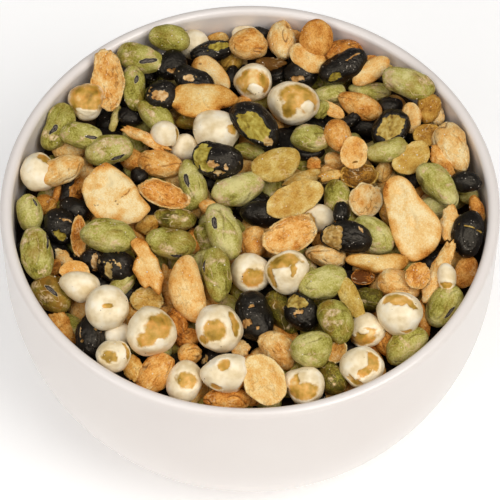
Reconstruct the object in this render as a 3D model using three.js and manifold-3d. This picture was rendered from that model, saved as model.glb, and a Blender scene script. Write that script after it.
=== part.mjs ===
// A round white bowl, filled to just under its rim with a heap of roasted beans: green, black and
// golden soybeans, coated peas, split halves, hollow skins and a few broad slices.
// Millimetres, +Z up. The origin is the middle of the foot, on the surface that the bowl stands on.
import * as THREE from "three";
import { mergeVertices } from "three/addons/utils/BufferGeometryUtils.js";
import Module from "manifold-3d";

const wasm = await Module();
wasm.setup();

// The bowl.
const rimRadius = 60;
const bowlHeight = 68;
const wallThickness = 3;
const straightDepth = 20;
const footRadius = 36;
const footWidth = 3.5;
const footHeight = 2.5;
const footRecess = 1.8;
const floorLevel = 6;
const bowlSides = 44;
const coreSides = 22;

// The heap, measured from the plane of the rim.
const heapGap = 0.3;
const middleDepth = 5;
const edgeDepth = 6.5;
const heapFall = 3;
const coreDepth = 3.2;
const facetGrowth = 1.08;

// How a piece rests on what is under it.
const bite = 1.4;
const mostLift = 4.5;
const mostDrop = 2.5;
const buriedDrop = 2.8;
const slideStep = 0.4;
const slideSteps = 10;
const cell = 0.8;

// Each piece sinks in steps until this share of it is joined to the heap.
const leastJoint = 0.02;
const joinStep = 0.3;

// Sides round a piece, and rows of facets along it.
const sidesFor = (form, length) => {
  if (length > 15) {
    return [8, 5];
  }
  return length > 10.5 || form === forms.ball ? [6, 4] : [5, 3];
};

// The direction the heap's pieces are read from: an eye in front of the bowl, looking down on it.
// Places are columns and rows of a square picture, 500 pixels wide, whose middle column crosses
// the middle of the rim.
const eyeElevation = THREE.MathUtils.degToRad(55.5);
const eyeDistance = 700;
const pixelsPerRadian = 2921;
const rimColumn = 250;
const rimRow = 200.4;

const rimCentre = new THREE.Vector3(0, 0, bowlHeight);
const viewRight = new THREE.Vector3(1, 0, 0);
const viewUp = new THREE.Vector3(0, Math.sin(eyeElevation), Math.cos(eyeElevation));
const toEye = new THREE.Vector3(0, -Math.cos(eyeElevation), Math.sin(eyeElevation));
const eye = rimCentre.clone().addScaledVector(toEye, eyeDistance);
const innerRadius = rimRadius - wallThickness;

// The pieces that show, by kind. Each row: column, row, heading in degrees (0 lies along the
// picture's rows, positive turns up on the right), length, width, layer (0 lies deepest).
const greenBeans = [
  [54, 125, 68, 12, 6.6, 1], [136, 52, -15, 12, 6.7, 1], [170, 38, -15, 9.6, 6.5, 1],
  [134, 88, 100, 11, 5.8, 1], [155, 116, -40, 10.4, 5.8, 1], [190, 121, 0, 6.8, 4.4, 0],
  [329, 94, 10, 8, 5, 1], [408, 83, -20, 12.8, 7, 2], [370, 91, -5, 10.4, 4.6, 1],
  [81, 135, -5, 10.4, 6.4, 1], [109, 151, 12, 11.2, 7.2, 2], [29, 213, 95, 8.9, 6.5, 1],
  [108, 236, -8, 13.2, 8, 2], [37, 253, -80, 12.2, 7.6, 2], [52, 294, -35, 11, 8, 1],
  [175, 219, -5, 10.6, 5.8, 1], [170, 243, -8, 12, 7.4, 2], [193, 183, -72, 11.2, 6.8, 2],
  [238, 189, 20, 13.4, 7.2, 2], [223, 231, -68, 14, 8, 2], [208, 237, -60, 7.4, 6.4, 1],
  [310, 138, -5, 10, 6.6, 1], [336, 197, 80, 8.4, 6.6, 1], [373, 235, -30, 11.2, 8.2, 1],
  [387, 150, 15, 10.4, 5.6, 3], [438, 185, -50, 12.4, 7, 2], [438, 207, 10, 9, 6, 1],
  [468, 195, 0, 4.8, 4.4, 1], [323, 283, 20, 11.6, 7.8, 2], [368, 300, -5, 8.4, 6.6, 0],
  [444, 306, 55, 10.6, 8, 1], [406, 346, 38, 11.2, 7.4, 2], [336, 321, -70, 10.2, 8, 2],
  [313, 349, 20, 10.4, 8.4, 2], [283, 312, -60, 11.6, 6.6, 0], [217, 275, -85, 13, 6.8, 2],
  [331, 378, -60, 8.4, 7, 1],
];
const blackBeans = [
  [212, 52, 10, 10.2, 5.2, 1], [232, 78, 90, 6.4, 4.4, 0], [194, 82, -30, 11, 6.8, 3],
  [172, 66, 0, 8, 6.8, 1], [147, 75, 0, 6.4, 5.4, 0], [162, 97, 30, 8, 7.4, 1],
  [131, 117, 0, 6.4, 5.4, 0], [254, 124, -40, 14, 8.8, 2], [343, 67, 25, 12, 7, 2],
  [301, 74, 0, 8.4, 7.2, 1], [277, 77, 0, 4.6, 4.2, 0], [390, 106, 0, 6, 4.8, 1],
  [391, 129, 45, 10.4, 7.8, 2], [68, 190, 80, 7, 4.6, 0], [74, 209, -20, 8, 5.4, 1],
  [60, 226, -70, 9, 7.2, 1], [93, 260, -30, 6.6, 5.4, 1], [117, 266, -20, 9.6, 8, 1],
  [217, 160, -15, 12.4, 8.4, 2], [139, 176, 0, 4.2, 4.2, 2], [308, 152, 0, 8.4, 4.4, 0],
  [263, 214, -5, 11.4, 6.2, 2], [346, 237, -8, 12.4, 7.6, 2], [342, 212, 70, 5, 4, 2],
  [414, 178, 60, 6, 4.8, 0], [470, 182, -5, 7.4, 5, 1], [471, 233, 75, 11.2, 7.8, 1],
  [254, 317, -70, 12.4, 9, 1], [302, 313, -50, 9.6, 8, 1], [91, 335, 95, 10.4, 7, 2],
];
const goldenBeans = [
  [249, 45, 0, 9.2, 7.4, 1], [282, 41, 100, 9, 6.8, 1], [348, 45, 0, 10, 6.8, 1],
  [360, 106, -25, 11, 6, 1], [428, 108, 80, 7, 5.6, 1], [459, 145, -68, 12.8, 8.2, 1],
  [71, 150, 0, 9, 5, 0], [59, 171, 25, 12, 6.2, 2], [160, 164, -12, 11.8, 6.4, 1],
  [254, 242, 60, 7.4, 6.8, 1], [325, 256, -10, 10, 5.6, 1], [399, 285, -20, 10.6, 7, 2],
  [178, 327, -75, 10, 5.6, 1], [190, 354, 0, 5.8, 5.4, 1], [278, 349, -40, 10.6, 8, 1],
  [155, 374, 50, 11.4, 7.6, 1], [227, 400, 0, 12, 6, 1], [443, 112, 90, 5, 4, 0],
  [338, 135, -70, 7.4, 6, 1],
];
const coatedPeas = [
  [87, 100, 0, 8.7, 8.7, 1], [194, 44, 0, 7.2, 7, 0], [165, 134, -30, 6.8, 6, 1],
  [216, 131, -10, 11.4, 10.4, 1], [184, 148, 0, 6.4, 6.4, 0], [254, 83, 0, 9, 9, 1],
  [292, 103, -10, 12.2, 10.4, 2], [38, 172, 90, 9.2, 8.4, 1], [80, 286, -10, 10, 7, 1],
  [108, 307, 0, 10.6, 10.4, 2], [151, 333, 0, 11.6, 11.6, 2], [319, 218, 0, 7.8, 6.4, 1],
  [250, 273, 0, 9.8, 9.6, 1], [287, 272, 20, 10.6, 9.8, 2], [447, 277, 90, 6.4, 4.4, 1],
  [400, 313, 0, 11.2, 10, 2], [366, 331, 10, 9.4, 8.2, 1], [219, 328, -60, 12, 11.2, 2],
  [225, 373, 10, 12.2, 9.2, 2], [185, 382, 80, 10, 8.6, 1], [113, 356, 0, 8, 8, 2],
  [118, 336, 0, 7, 6.4, 1], [305, 385, 0, 10.2, 9.4, 2], [362, 367, 0, 10.6, 10, 2],
];
const splitHalves = [
  [316, 39, 80, 9.6, 8, 1], [308, 58, -30, 9.6, 6.2, 2], [371, 71, 35, 10.4, 5, 2],
  [375, 56, 0, 5, 3.4, 1], [411, 118, 90, 7.4, 5, 1], [428, 135, 0, 7.4, 5.4, 1],
  [276, 164, 18, 12, 8, 2], [295, 199, 25, 14.8, 8, 2], [354, 153, 80, 8, 6.6, 2],
  [411, 158, 35, 10, 7, 2], [351, 298, -65, 11, 4.8, 2], [466, 272, 70, 8.2, 5.4, 1],
  [76, 273, -25, 8, 5.4, 3], [264, 380, -60, 13, 10, 2], [189, 290, -78, 16.6, 8.4, 1],
  [332, 110, -30, 6.8, 3.4, 1], [295, 31, 0, 4.4, 3.6, 0],
];
const hollowSkins = [
  [108, 80, -85, 15, 7.8, 2], [164, 194, -20, 13, 6.4, 2], [366, 200, 70, 8.6, 8, 2],
  [290, 235, 22, 14, 8.6, 2], [359, 175, 0, 9.2, 6.6, 1], [418, 276, 60, 6.4, 6, 2],
  [79, 236, -88, 9.8, 4, 1], [147, 300, 0, 8.2, 6.2, 1], [363, 277, 0, 6, 4, 1],
  [337, 352, 60, 6, 4.6, 1],
];
const broadSlices = [
  [116, 194, -50, 16.6, 15, 3], [412, 219, -68, 22, 12.6, 3], [203, 103, 0, 17.2, 8.4, 2],
  [211, 72, -45, 11.4, 7, 1], [378, 262, -5, 15.8, 5.8, 1], [149, 268, -60, 16, 7.4, 2],
];
const flakes = [
  [115, 119, 75, 7.6, 2.2, 1], [146, 138, -25, 12.4, 3, 2], [270, 63, 0, 7.2, 3.4, 1],
  [85, 171, -30, 6, 4.6, 1], [57, 193, 78, 5, 2, 1], [63, 257, -50, 5, 3.4, 1],
  [63, 328, -60, 9, 6, 1], [133, 368, -60, 7, 5, 1], [302, 177, 12, 10.6, 4, 1],
  [331, 175, 10, 6.2, 3, 1], [443, 163, -65, 9, 4.4, 1], [451, 223, 85, 8.6, 4.4, 2],
  [440, 270, 65, 16, 4.6, 1], [423, 320, -80, 9.4, 3.6, 0], [240, 348, 0, 4.8, 4.4, 0],
  [168, 285, -80, 11, 5, 0], [314, 163, 0, 4, 3.4, 1],
];

// Beans that fill what the rows leave bare, such as the strip behind the front of the rim.
const fillerSpots = 200;
const fillerLength = 9.6;
const fillerWidth = 6.4;
const fillerRoom = 2.2;
const goldenAngle = Math.PI * (3 - Math.sqrt(5));

// A form bends the unit ball into a piece: length along x, width along y, outside up along z.
const slab = (height) => THREE.MathUtils.clamp(height * 2.4, -1, 1);
const forms = {
  bean: (p) => [p.x, p.y * (1 - 0.1 * p.x * p.x) + 0.16 * (p.x * p.x - 0.4), p.z],
  ball: (p) => [p.x, p.y, p.z],
  half: (p) => [p.x, p.y + 0.12 * p.x * p.x, p.z > 0 ? 0.1 * p.z : p.z],
  hollow: (p) => (p.z > 0 ? [p.x * 0.8, p.y * 0.8, 0.1 - 0.6 * p.z] : [p.x, p.y, p.z]),
  slice: (p) => [p.x, p.y * (1 - 0.2 * p.x), slab(p.z) - 0.5 * p.y * p.y],
  flake: (p) => [p.x, p.y, slab(p.z) - 1.4 * p.y * p.y],
};

// Each kind: its rows, its form, its thickness for a given width, and how far its flat side
// turns from straight up (0) to the eye (1).
const kinds = [
  { rows: greenBeans, form: forms.bean, thick: (width) => 0.92 * width, turn: 0.4 },
  { rows: blackBeans, form: forms.bean, thick: (width) => 0.9 * width, turn: 0.4 },
  { rows: goldenBeans, form: forms.bean, thick: (width) => 0.9 * width, turn: 0.4 },
  { rows: coatedPeas, form: forms.ball, thick: (width) => 0.95 * width, turn: 0.5 },
  { rows: splitHalves, form: forms.half, thick: (width) => 0.8 * width, turn: 0.7 },
  { rows: hollowSkins, form: forms.hollow, thick: (width) => 0.85 * width, turn: 0.6 },
  { rows: broadSlices, form: forms.slice, thick: () => 2.8, turn: 0.75 },
  { rows: flakes, form: forms.flake, thick: () => 1.5, turn: 0.6 },
];

// How far under the rim's plane the middles of the heap's pieces lie.
const heapDepth = (radius) => {
  const share = Math.min(radius / innerRadius, 1) ** heapFall;
  return middleDepth + (edgeDepth - middleDepth) * share;
};

const innerRadiusAt = (z) => {
  const below = bowlHeight - straightDepth - z;
  return below > 0 ? Math.sqrt(innerRadius ** 2 - below ** 2) : innerRadius;
};

// The point of the heap's surface that shows at a column and row.
const placeOnHeap = (column, row) => {
  const ray = toEye.clone().multiplyScalar(-pixelsPerRadian);
  ray.addScaledVector(viewRight, column - rimColumn);
  ray.addScaledVector(viewUp, rimRow - row).normalize();
  const place = eye.clone();
  for (let pass = 0; pass < 8; pass += 1) {
    const level = bowlHeight - heapDepth(Math.hypot(place.x, place.y));
    const along = (level - eye.z) / ray.z;
    place.copy(eye).addScaledVector(ray, along);
  }
  return { place, ray };
};

// Axes of a piece: its length keeps its heading in the picture, its flat side turns to the eye.
const pieceAxes = (heading, turn) => {
  const angle = THREE.MathUtils.degToRad(heading);
  const flat = new THREE.Vector3(0, 0, 1).lerp(toEye, turn).normalize();
  const seen = viewRight.clone().multiplyScalar(Math.cos(angle));
  seen.addScaledVector(viewUp, Math.sin(angle));
  const length = seen.clone().addScaledVector(toEye, -seen.dot(flat) / toEye.dot(flat));
  const foreshortening = length.length();
  length.normalize();
  const width = flat.clone().cross(length);
  return { length, width, flat, foreshortening };
};

// The ground that pieces rest on, kept as its height towards the eye over a grid of cells.
const cells = Math.ceil((2 * rimRadius) / cell);
const ground = new Float64Array(cells * cells);
const cellMiddle = (index) => (index + 0.5) * cell - rimRadius;

const layBed = () => {
  for (let j = 0; j < cells; j += 1) {
    for (let i = 0; i < cells; i += 1) {
      const across = cellMiddle(i);
      const up = cellMiddle(j);
      let height = 0;
      for (let pass = 0; pass < 8; pass += 1) {
        const y = up * viewUp.y + height * toEye.y;
        const level = -heapDepth(Math.hypot(across, y)) - coreDepth;
        height = (level - up * viewUp.z) / toEye.z;
      }
      ground[j * cells + i] = height;
    }
  }
};

// Calls visit(cell, near, far) for each cell that an ellipsoid covers as the eye sees it.
const eachCoveredCell = (centre, axes, halves, visit) => {
  const local = centre.clone().sub(rimCentre);
  const middle = [local.dot(viewRight), local.dot(viewUp), local.dot(toEye)];
  const reach = Math.max(...halves);
  const spans = axes.map((axis, k) => ({
    right: axis.dot(viewRight) / halves[k],
    up: axis.dot(viewUp) / halves[k],
    deep: axis.dot(toEye) / halves[k],
  }));
  const square = spans.reduce((sum, span) => sum + span.deep ** 2, 0);
  const first = (value) => Math.max(0, Math.floor((value - reach + rimRadius) / cell));
  const last = (value) => Math.min(cells - 1, Math.ceil((value + reach + rimRadius) / cell));
  for (let j = first(middle[1]); j <= last(middle[1]); j += 1) {
    for (let i = first(middle[0]); i <= last(middle[0]); i += 1) {
      const across = cellMiddle(i) - middle[0];
      const up = cellMiddle(j) - middle[1];
      const parts = spans.map((span) => span.right * across + span.up * up);
      const cross = spans.reduce((sum, span, k) => sum + span.deep * parts[k], 0);
      const rest = parts.reduce((sum, part) => sum + part * part, -1);
      const root = cross * cross - square * rest;
      if (root > 0) {
        const near = middle[2] + (-cross + Math.sqrt(root)) / square;
        const far = middle[2] + (-cross - Math.sqrt(root)) / square;
        visit(j * cells + i, near, far);
      }
    }
  }
};

// How far a piece reaches into the bowl's wall, and the direction out to the wall.
const wallOverlap = (place, axes, halves) => {
  const radius = Math.hypot(place.x, place.y);
  const outward = new THREE.Vector3(place.x / radius, place.y / radius, 0);
  const reach = Math.hypot(...axes.map((axis, k) => axis.dot(outward) * halves[k]));
  return { overlap: radius + reach + heapGap - innerRadiusAt(place.z), outward };
};

// Slides a piece along its line of sight until it bites a little into what is under it. Where it
// meets the wall it slides on, and then moves straight away from the wall.
const settle = (place, ray, axes, halves, layer) => {
  if (layer === 0) {
    place.addScaledVector(ray, buriedDrop);
  } else {
    let overlap = -Infinity;
    eachCoveredCell(place, axes, halves, (index, near, far) => {
      overlap = Math.max(overlap, ground[index] - far);
    });
    const lift = THREE.MathUtils.clamp(overlap - bite, -mostDrop, mostLift);
    place.addScaledVector(ray, -lift);
  }
  let wall = wallOverlap(place, axes, halves);
  const slide = wall.outward.dot(ray) > 0 ? -slideStep : slideStep;
  for (let step = 0; step < slideSteps && wall.overlap > 0; step += 1) {
    place.addScaledVector(ray, slide);
    wall = wallOverlap(place, axes, halves);
  }
  if (wall.overlap > 0) {
    place.addScaledVector(wall.outward, -wall.overlap);
  }
  eachCoveredCell(place, axes, halves, (index, near) => {
    ground[index] = Math.max(ground[index], near);
  });
};

const toManifold = (geometry) => {
  geometry.deleteAttribute("normal");
  geometry.deleteAttribute("uv");
  const merged = mergeVertices(geometry, 1e-4);
  const vertProperties = new Float32Array(merged.attributes.position.array);
  const triVerts = new Uint32Array(merged.index.array);
  return new wasm.Manifold(new wasm.Mesh({ numProp: 3, vertProperties, triVerts }));
};

const toGeometry = (solid) => {
  const mesh = solid.getMesh();
  const geometry = new THREE.BufferGeometry();
  geometry.setAttribute("position", new THREE.BufferAttribute(mesh.vertProperties, 3));
  geometry.setIndex(new THREE.BufferAttribute(mesh.triVerts, 1));
  geometry.computeVertexNormals();
  return geometry;
};

// Fusing can leave scraps and sealed hollows, which are dropped.
const largestBody = (solid) => {
  const bodies = solid.decompose();
  return bodies.reduce((largest, body) => (body.volume() > largest.volume() ? body : largest));
};

const pieceSolid = (form, sides, place, axes, halves) => {
  const geometry = new THREE.SphereGeometry(1, ...sides).rotateZ(Math.PI / 2);
  const position = geometry.attributes.position;
  const point = new THREE.Vector3();
  const vertex = new THREE.Vector3();
  for (let i = 0; i < position.count; i += 1) {
    point.fromBufferAttribute(position, i);
    const bent = form(point);
    vertex.copy(place);
    axes.forEach((axis, k) => vertex.addScaledVector(axis, bent[k] * halves[k] * facetGrowth));
    position.setXYZ(i, vertex.x, vertex.y, vertex.z);
  }
  return toManifold(geometry);
};

const turned = (profile, sides) => new THREE.LatheGeometry(profile, sides).rotateX(Math.PI / 2);

// An arc of a circle that is centred on the axis, as points from one level to another.
const arcOnAxis = (radius, centreLevel, fromLevel, toLevel, steps) => {
  const angleAt = (level) => Math.asin((level - centreLevel) / radius);
  const points = [];
  for (let i = 0; i <= steps; i += 1) {
    const angle = angleAt(fromLevel) + ((angleAt(toLevel) - angleAt(fromLevel)) * i) / steps;
    points.push(new THREE.Vector2(radius * Math.cos(angle), centreLevel + radius * Math.sin(angle)));
  }
  return points;
};

const bowlGeometry = () => {
  const centreLevel = bowlHeight - straightDepth;
  const lipRadius = wallThickness / 2;
  const lipSteps = 4;
  const profile = [
    new THREE.Vector2(0, footRecess),
    new THREE.Vector2(footRadius - footWidth - 1, footRecess),
    new THREE.Vector2(footRadius - footWidth, 0),
    new THREE.Vector2(footRadius, 0),
    new THREE.Vector2(footRadius + 0.6, footHeight),
    ...arcOnAxis(rimRadius, centreLevel, footHeight + 1, centreLevel, 6),
  ];
  for (let i = 0; i <= lipSteps; i += 1) {
    const angle = (Math.PI * i) / lipSteps;
    const across = rimRadius - lipRadius + lipRadius * Math.cos(angle);
    profile.push(new THREE.Vector2(across, bowlHeight - lipRadius + lipRadius * Math.sin(angle)));
  }
  profile.push(...arcOnAxis(innerRadius, centreLevel, centreLevel, floorLevel + 4, 5));
  profile.push(new THREE.Vector2(innerRadiusAt(floorLevel + 4) - 4, floorLevel + 0.8));
  profile.push(new THREE.Vector2(innerRadiusAt(floorLevel + 4) - 9, floorLevel));
  profile.push(new THREE.Vector2(0, floorLevel));
  return turned(profile, bowlSides);
};

// What fills the bowl under the pieces that show.
const coreSolid = (topDepth) => {
  const centreLevel = bowlHeight - straightDepth;
  const fullRadius = innerRadius - heapGap;
  const cornerLevel = floorLevel + 5;
  const sideRadius = fullRadius - heapGap;
  const profile = [
    new THREE.Vector2(0, floorLevel + heapGap),
    new THREE.Vector2(innerRadiusAt(cornerLevel) - 10, floorLevel + heapGap),
    new THREE.Vector2(innerRadiusAt(cornerLevel) - 5, floorLevel + 1.4),
    ...arcOnAxis(sideRadius, centreLevel, cornerLevel, centreLevel, 3),
  ];
  const topSteps = 4;
  for (let i = 0; i < topSteps; i += 1) {
    const radius = sideRadius * (1 - i / topSteps);
    profile.push(new THREE.Vector2(radius, bowlHeight - topDepth(radius)));
  }
  profile.push(new THREE.Vector2(0, bowlHeight - topDepth(0)));
  return toManifold(turned(profile, coreSides));
};

// The pieces of the rows, from the deepest layer up, then the filling beans.
const placedPieces = () => {
  layBed();
  const rows = kinds.flatMap((kind) => kind.rows.map((row) => ({ kind, row })));
  rows.sort((a, b) => a.row[5] - b.row[5]);
  const placed = rows.map(({ kind, row }) => {
    const [column, line, heading, length, width, layer] = row;
    const { place, ray } = placeOnHeap(column, line);
    const frame = pieceAxes(heading, kind.turn);
    const axes = [frame.length, frame.width, frame.flat];
    const enlarge = place.distanceTo(eye) / eyeDistance;
    const sizes = [length * frame.foreshortening, width, kind.thick(width)];
    const halves = sizes.map((size) => (size * enlarge) / 2);
    settle(place, ray, axes, halves, layer);
    return { form: kind.form, place, axes, halves };
  });
  for (let spot = 0; spot < fillerSpots; spot += 1) {
    const radius = innerRadius * Math.sqrt((spot + 0.5) / fillerSpots);
    const angle = spot * goldenAngle;
    const place = new THREE.Vector3(radius * Math.cos(angle), radius * Math.sin(angle), 0);
    place.z = bowlHeight - heapDepth(radius);
    const bare = placed.every((piece) => {
      const apart = Math.hypot(piece.place.x - place.x, piece.place.y - place.y);
      return apart > (piece.halves[0] + piece.halves[1]) / 2 + fillerRoom;
    });
    if (bare) {
      const frame = pieceAxes((spot * 180) / Math.PI, 0);
      const axes = [frame.length, frame.width, frame.flat];
      const halves = [fillerLength / 2, fillerWidth / 2, fillerWidth / 2];
      settle(place, new THREE.Vector3(0, 0, -1), axes, halves, 0);
      placed.push({ form: forms.bean, place, axes, halves });
    }
  }
  return placed;
};

const heapGeometry = () => {
  let heap = coreSolid((radius) => heapDepth(radius) + coreDepth);
  for (const { form, place, axes, halves } of placedPieces()) {
    const makePiece = () => pieceSolid(form, sidesFor(form, 2 * halves[0]), place, axes, halves);
    let piece = makePiece();
    while (heap.intersect(piece).volume() < leastJoint * piece.volume()) {
      place.z -= joinStep;
      piece = makePiece();
    }
    heap = heap.add(piece);
  }
  const room = coreSolid(() => -rimRadius / 4);
  return toGeometry(largestBody(heap.intersect(room)));
};

const glaze = new THREE.MeshStandardMaterial({ color: 0xede6e1, roughness: 0.25, metalness: 0 });
const beans = new THREE.MeshStandardMaterial({ color: 0xa08a4c, roughness: 0.6, metalness: 0 });

const bowl = new THREE.Mesh(bowlGeometry(), glaze);
bowl.name = "bowl";
const heap = new THREE.Mesh(heapGeometry(), beans);
heap.name = "bean_mix";

const part = new THREE.Group();
part.add(bowl, heap);
export default part;
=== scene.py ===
import math

import bpy
import numpy as np
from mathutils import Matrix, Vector


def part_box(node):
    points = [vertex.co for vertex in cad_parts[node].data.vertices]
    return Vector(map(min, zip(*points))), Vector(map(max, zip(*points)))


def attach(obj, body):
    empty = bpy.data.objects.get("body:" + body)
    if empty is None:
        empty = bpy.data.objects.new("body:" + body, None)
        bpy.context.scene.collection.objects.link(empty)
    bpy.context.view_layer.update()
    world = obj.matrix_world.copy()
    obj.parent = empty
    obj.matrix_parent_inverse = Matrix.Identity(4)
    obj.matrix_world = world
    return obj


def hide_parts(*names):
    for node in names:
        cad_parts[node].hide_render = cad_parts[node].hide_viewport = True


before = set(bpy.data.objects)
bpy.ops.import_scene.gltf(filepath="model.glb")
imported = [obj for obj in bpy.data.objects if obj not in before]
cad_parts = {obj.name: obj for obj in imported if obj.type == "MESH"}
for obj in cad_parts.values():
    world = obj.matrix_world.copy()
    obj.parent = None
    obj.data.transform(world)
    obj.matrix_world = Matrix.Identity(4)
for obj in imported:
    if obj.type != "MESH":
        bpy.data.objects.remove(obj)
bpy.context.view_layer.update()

# ---------------------------------------------------------------- measures, in millimetres

METRE = 0.001
TINY = 1e-6

# The bowl. Its wall is straight under the rim and round below that.
_, bowl_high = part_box("bowl")
RIM_RADIUS = bowl_high.x / METRE
BOWL_HEIGHT = bowl_high.z / METRE
WALL = 3.0
STRAIGHT_DEPTH = 20.0
FOOT_RADIUS = 36.0
FOOT_WIDTH = 3.5
FOOT_HEIGHT = 2.5
FOOT_RECESS = 1.8
FOOT_SLOPE = 1.0
FOOT_LEAN = 0.6
FOOT_FLARE = 3.2
FLARE_RISE = 1.4
FOOT_ROUNDING = 0.5
WALL_START = 2.0
FLOOR_LEVEL = 6.0
FLOOR_BEND = 4.0
FLOOR_SAG = 0.8
FLOOR_MARGIN = 9.0
INNER_RADIUS = RIM_RADIUS - WALL

# The heap's surface, under the rim's plane, and the gap between the pieces and the wall.
MIDDLE_DEPTH = 5.0
EDGE_DEPTH = 6.5
HEAP_FALL = 3.0
HEAP_GAP = 0.3
CORE_DEPTH = 3.2

# How far a piece bites into what is under it, and how far it may move for that.
BITE = 1.4
MOST_LIFT = 4.5
MOST_DROP = 2.5
BURIED_DROP = 2.8
SLIDE_STEP = 0.4
SLIDE_STEPS = 10
CELL = 0.8
PLACE_ROUNDS = 8

# The view of the photograph: its middle column crosses the middle of the rim.
IMAGE_SIZE = 500
EYE_ELEVATION = math.radians(55.5)
EYE_DISTANCE = 700.0
PIXELS_PER_RADIAN = 2921.0
PIXELS_PER_MM = PIXELS_PER_RADIAN / EYE_DISTANCE
RIM_COLUMN = 250.0
RIM_ROW = 200.4

RIM_CENTRE = np.array([0.0, 0.0, BOWL_HEIGHT])
RIGHT = np.array([1.0, 0.0, 0.0])
UP = np.array([0.0, math.sin(EYE_ELEVATION), math.cos(EYE_ELEVATION)])
TO_EYE = np.array([0.0, -math.cos(EYE_ELEVATION), math.sin(EYE_ELEVATION)])
EYE = RIM_CENTRE + EYE_DISTANCE * TO_EYE
ZENITH = np.array([0.0, 0.0, 1.0])

# ---------------------------------------------------------------- the pieces that show
# Each row: column, row, heading in degrees (0 lies along the picture's rows, positive turns up
# on the right), length, width, layer (0 lies deepest). A row may go on with tone and shift, from
# about 0 to 1: how light and how brown a green bean is, how dark and how olive a toasted piece.

GREEN_BEANS = [
    [54, 125, 68, 12, 6.6, 1], [136, 52, -15, 12, 6.7, 1], [170, 38, -15, 9.6, 6.5, 1],
    [134, 88, 100, 11, 5.8, 1], [155, 116, -40, 10.4, 5.8, 1], [190, 121, 0, 6.8, 4.4, 0, 0.3, 0.7],
    [329, 94, 10, 8, 5, 1, 0.75, 0], [408, 83, -20, 12.8, 7, 2, 0.68, 0.25],
    [370, 91, -5, 10.4, 4.6, 1, 0.68, 0.2], [81, 135, -5, 10.4, 6.4, 1, 0.65, 0],
    [109, 151, 12, 11.2, 7.2, 2, 0.6, 0], [29, 213, 95, 8.9, 6.5, 1, 0.65, 0],
    [108, 236, -8, 13.2, 8, 2], [37, 253, -80, 12.2, 7.6, 2], [52, 294, -35, 11, 8, 1, 0.3, 0.6],
    [175, 219, -5, 10.6, 5.8, 1, 0.3, 0.35], [170, 243, -8, 12, 7.4, 2, 0.5, 0.3],
    [193, 183, -72, 11.2, 6.8, 2, 0.68, 0], [238, 189, 20, 13.4, 7.2, 2, 0.75, 0],
    [223, 231, -68, 14, 8, 2, 0.72, 0], [208, 237, -60, 7.4, 6.4, 1, 0.55, 0.1],
    [310, 138, -5, 10, 6.6, 1, 0.62, 0], [336, 197, 80, 8.4, 6.6, 1],
    [373, 235, -30, 11.2, 8.2, 1, 0.68, 0], [387, 150, 15, 10.4, 5.6, 3, 0.7, 0.35],
    [438, 185, -50, 12.4, 7, 2], [438, 207, 10, 9, 6, 1, 0.8, 0], [468, 195, 0, 4.8, 4.4, 1, 0.8, 0],
    [323, 283, 20, 11.6, 7.8, 2, 0.68, 0], [368, 300, -5, 8.4, 6.6, 0, 0.05, 0.1],
    [444, 306, 55, 10.6, 8, 1], [406, 346, 38, 11.2, 7.4, 2], [336, 321, -70, 10.2, 8, 2],
    [313, 349, 20, 10.4, 8.4, 2], [283, 312, -60, 11.6, 6.6, 0, 0, 0.2], [217, 275, -85, 13, 6.8, 2],
    [331, 378, -60, 8.4, 7, 1, 0.12, 0.1],
]
BLACK_BEANS = [
    [212, 52, 10, 10.2, 5.2, 1], [232, 78, 90, 6.4, 4.4, 0], [194, 82, -30, 11, 6.8, 3],
    [172, 66, 0, 8, 6.8, 1], [147, 75, 0, 6.4, 5.4, 0], [162, 97, 30, 8, 7.4, 1],
    [131, 117, 0, 6.4, 5.4, 0], [254, 124, -40, 14, 8.8, 2], [343, 67, 25, 12, 7, 2],
    [301, 74, 0, 8.4, 7.2, 1], [277, 77, 0, 4.6, 4.2, 0], [390, 106, 0, 6, 4.8, 1],
    [391, 129, 45, 10.4, 7.8, 2], [68, 190, 80, 7, 4.6, 0], [74, 209, -20, 8, 5.4, 1],
    [60, 226, -70, 9, 7.2, 1], [93, 260, -30, 6.6, 5.4, 1], [117, 266, -20, 9.6, 8, 1],
    [217, 160, -15, 12.4, 8.4, 2], [139, 176, 0, 4.2, 4.2, 2], [308, 152, 0, 8.4, 4.4, 0],
    [263, 214, -5, 11.4, 6.2, 2], [346, 237, -8, 12.4, 7.6, 2], [342, 212, 70, 5, 4, 2],
    [414, 178, 60, 6, 4.8, 0], [470, 182, -5, 7.4, 5, 1], [471, 233, 75, 11.2, 7.8, 1],
    [254, 317, -70, 12.4, 9, 1], [302, 313, -50, 9.6, 8, 1], [91, 335, 95, 10.4, 7, 2],
]
GOLDEN_BEANS = [
    [249, 45, 0, 9.2, 7.4, 1, 0.56, 0], [282, 41, 100, 9, 6.8, 1, 0.4, 0],
    [348, 45, 0, 10, 6.8, 1, 0.82, 0], [360, 106, -25, 11, 6, 1, 0.62, 0],
    [428, 108, 80, 7, 5.6, 1, 0.72, 0.5], [459, 145, -68, 12.8, 8.2, 1, 0.35, 0],
    [71, 150, 0, 9, 5, 0, 0.45, 0.1], [59, 171, 25, 12, 6.2, 2, 0.42, 0],
    [160, 164, -12, 11.8, 6.4, 1, 0.58, 0], [254, 242, 60, 7.4, 6.8, 1, 0.55, 0],
    [325, 256, -10, 10, 5.6, 1, 0.42, 0], [399, 285, -20, 10.6, 7, 2, 0.5, 0],
    [178, 327, -75, 10, 5.6, 1, 0.86, 0], [190, 354, 0, 5.8, 5.4, 1, 0.6, 0.1],
    [278, 349, -40, 10.6, 8, 1, 0.5, 0], [155, 374, 50, 11.4, 7.6, 1, 0.6, 0],
    [227, 400, 0, 12, 6, 1, 0.75, 0], [443, 112, 90, 5, 4, 0, 0.4, 0],
    [338, 135, -70, 7.4, 6, 1, 0.65, 0],
]
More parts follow.
